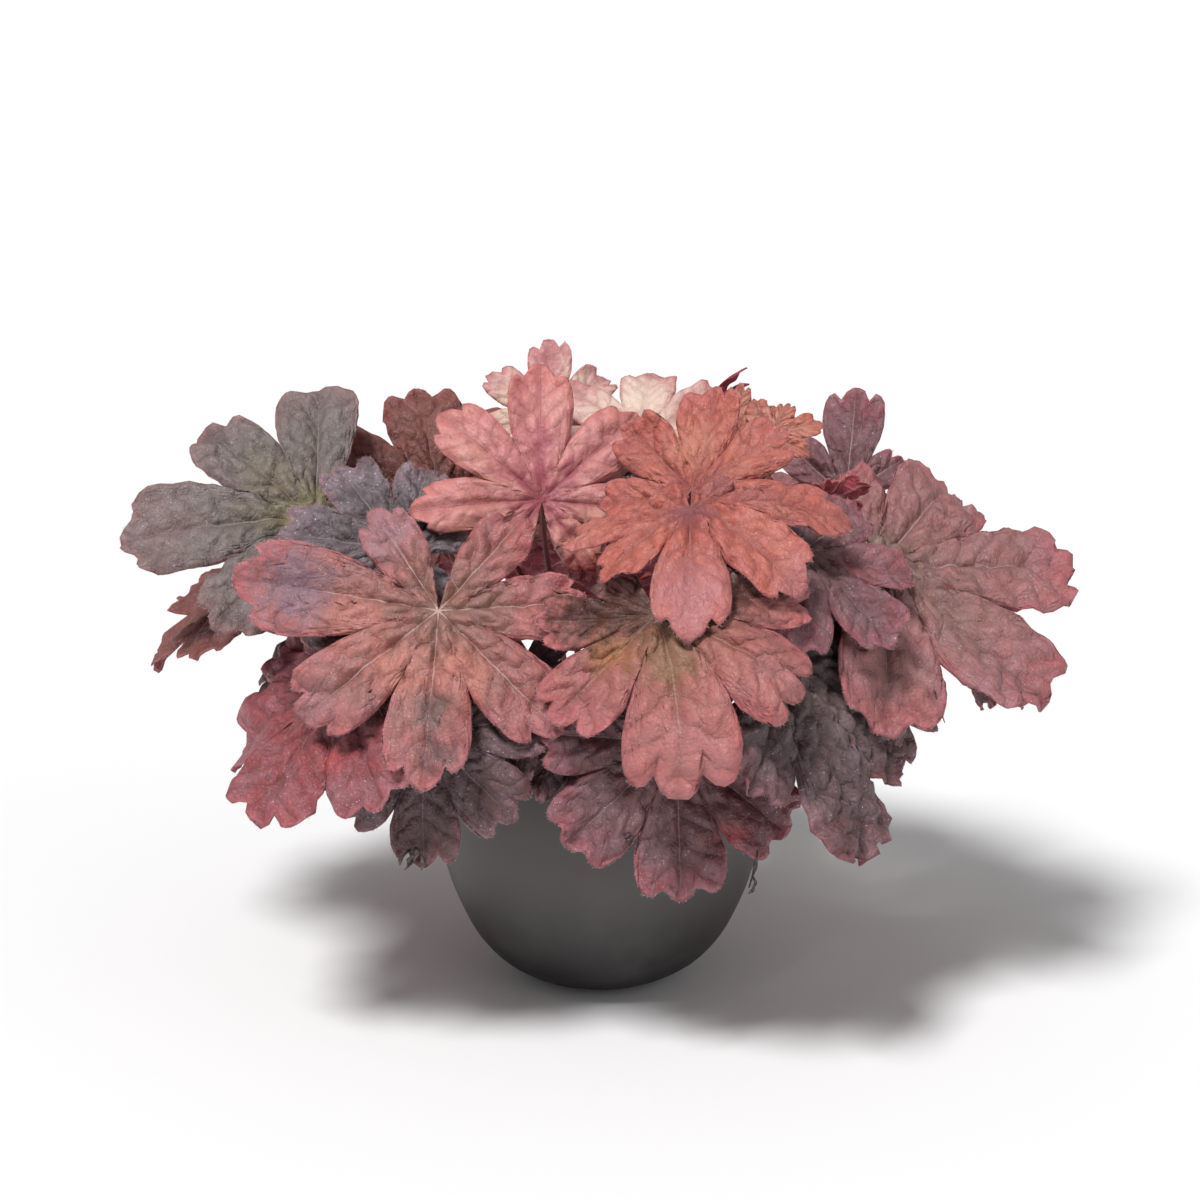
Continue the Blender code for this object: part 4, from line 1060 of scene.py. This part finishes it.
# The pot turned smoothly through the same outline as the part's, down to below the soil inside
def finePot(finish):
    radii, heights = np.array(potOutline, float).T
    inner = [(float(np.interp(z, heights, radii)) - pot["wall"], z) for z in pot["insideHeights"]]
    bm = bmesh.new()
    verts = [bm.verts.new((r * mm, 0, z * mm))
             for r, z in [(0, 0), (pot["foot"], 0), *smoothThrough(potOutline), *pot["rim"], *inner]]
    edges = [bm.edges.new(pair) for pair in zip(verts, verts[1:])]
    bmesh.ops.spin(bm, geom=verts + edges, cent=(0, 0, 0), axis=(0, 0, 1), angle=2 * math.pi,
                   steps=pot["steps"], use_merge=True)
    bmesh.ops.remove_doubles(bm, verts=bm.verts, dist=1e-6)
    bmesh.ops.recalc_face_normals(bm, faces=bm.faces)
    piece = pieceFrom(bm, "potSmooth", finish)
    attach(piece, "root")
    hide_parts("pot")


def bitMaterial(name, dark, pale):
    made, n, shader = principled(name)
    cloud = n.noise(n.place(), 450.0, 5.0, 0.65)
    n.feed(shader, {"Base Color": n.mix(n.ranged(cloud, 0.35, 0.7), dark, pale), "Roughness": 0.7,
                    "Normal": n.bump(cloud, 0.7, 0.0008)})
    return made


# Narrow curled scraps of leaf, each swept along a bend from its start to its tip
def curledBits(name, bits, finish, sides=10, stations=22):
    bm = bmesh.new()
    for number, (start, bend, tip, wide) in enumerate(bits):
        start, bend, tip = Vector(start), Vector(bend), Vector(tip)
        first = (tip - start).cross(Vector((0.2, 1, 0.3))).normalized()
        verts = []
        for i in range(stations + 1):
            t = i / stations
            centre = start * (1 - t) ** 2 + bend * 2 * t * (1 - t) + tip * t * t
            forward = ((bend - start) * (1 - t) + (tip - bend) * t).normalized()
            level = (first - forward * first.dot(forward)).normalized()
            twist = 1.6 * t + number
            side = level * math.cos(twist) + forward.cross(level) * math.sin(twist)
            half = wide * math.sin(math.pi * (0.06 + 0.9 * t)) ** 0.7 * (1 + 0.25 * math.sin(11 * t + number))
            for turn in np.arange(sides) * 2 * math.pi / sides:
                x = half * math.cos(turn)
                y = min(0.3, wide) * math.sin(turn) + 0.45 * x * x / wide
                verts.append(bm.verts.new((centre + side * x + forward.cross(side) * y) * mm))
        for face in tubeFaces(stations + 1, sides):
            bm.faces.new([verts[i] for i in face])
    bmesh.ops.recalc_face_normals(bm, faces=bm.faces)
    piece = pieceFrom(bm, name, finish)
    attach(piece, "root")


def plainFloor(reach):
    mesh = bpy.data.meshes.new("floor")
    mesh.from_pydata([(-reach, -reach, 0), (reach, -reach, 0), (reach, reach, 0), (-reach, reach, 0)], [],
                     [(0, 1, 2, 3)])
    made, n, shader = principled("paleFloor")
    n.feed(shader, {"Base Color": (0.86, 0.86, 0.86, 1), "Roughness": 0.9, "Specular IOR Level": 0.1})
    mesh.materials.append(made)
    linked("floor", mesh)


# The stage in metres and degrees. The lens is the photo's focal length over its width, both in pixels
stage = {
    "floor": 20, "room": 0.32, "tilt": 16, "away": 1.2, "aim": 0.153, "lens": 3096 / 1200, "sensor": 36,
    "suns": {"keyLight": ((0.30, 0.50, -0.95), 3.1, 16), "fillLight": ((-0.75, 0.60, -0.45), 0.3, 50)},
}


def studio():
    plainFloor(stage["floor"])
    for name, (way, power, soft) in stage["suns"].items():
        light = bpy.data.lights.new(name, "SUN")
        light.energy, light.angle = power, math.radians(soft)
        linked(name, light).rotation_euler = Vector(way).to_track_quat("-Z", "Y").to_euler()
    world = bpy.data.worlds.new("paleRoom")
    world.use_nodes = True
    background = world.node_tree.nodes["Background"]
    Nodes(world.node_tree).feed(background, {"Color": (1, 1, 1, 1), "Strength": stage["room"]})
    tilt, away = math.radians(stage["tilt"]), stage["away"]
    camera = linked("camera", bpy.data.cameras.new("camera"))
    camera.location = (0, -away * math.cos(tilt), stage["aim"] + away * math.sin(tilt))
    camera.rotation_euler = (math.pi / 2 - tilt, 0, 0)
    camera.data.sensor_width = stage["sensor"]
    camera.data.lens = stage["sensor"] * stage["lens"]
    camera.data.clip_start = 0.01
    bpy.context.scene.world = world
    bpy.context.scene.camera = camera
    bpy.context.scene.view_settings.view_transform = "Standard"


groups = {"surface": leafGroup(), "patch": patchGroup(), "frost": frostGroup()}
stalkFinish, soilFinish = stalkMaterial(), soilMaterial()
finishes = (underMaterial(), stalkFinish, hairMaterial())
feet = stalkFeet()
obstacles, built = [treeOf("pot")], []
for index, (leaf, foot) in enumerate(zip(leafTable, feet)):
    fineLeaf(leaf, foot, obstacles, built, index + 1, groups, finishes)
    obstacles.append(treeOf("leaf_" + leaf.name))
print("leaves done")
finePot(potMaterial())
for node, finish in (("soil", soilFinish), ("crown", stalkFinish)):
    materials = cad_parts[node].data.materials
    materials.clear()
    materials.append(finish)
soilCrumbs(soilFinish, feet)
print("pot and soil done")
cream = next(leaf for leaf in leafTable if leaf.name == "top_cream")
corner, _ = bladePlace(cream, axesOf(cream), 0.60 * cream.size, -0.68 * cream.size, 0)
curledBits("curledTip", [
    (corner, corner + Vector((2, -1, 9)), corner + Vector((12, -1, 13)), 2.8),
    (corner + Vector((0, 0, 1)), corner + Vector((7, -1, 6)), corner + Vector((13, 1, 6)), 1.6),
], bitMaterial("crimsonTip", (0.16, 0.008, 0.02, 1), (0.36, 0.045, 0.07, 1)))
curledBits("driedScraps", [
    ((-67, -96, 87), (-67, -99, 83), (-71, -98, 79), 2.0),
    ((-69, -96, 86), (-72, -97, 84), (-73, -96, 80), 1.4),
    ((-65, -97, 84), (-64, -99, 82), (-65, -98, 79), 1.0),
    ((57, -102, 88), (56, -104, 82), (54, -103, 74), 0.8),
    ((55, -104, 79), (57, -105, 76), (54, -104, 72), 1.6),
    ((122, -70, 141), (124, -73, 134), (127, -70, 126), 0.35),
], bitMaterial("driedLeaf", (0.018, 0.013, 0.012, 1), (0.19, 0.145, 0.135, 1)))
print("scraps done")
studio()
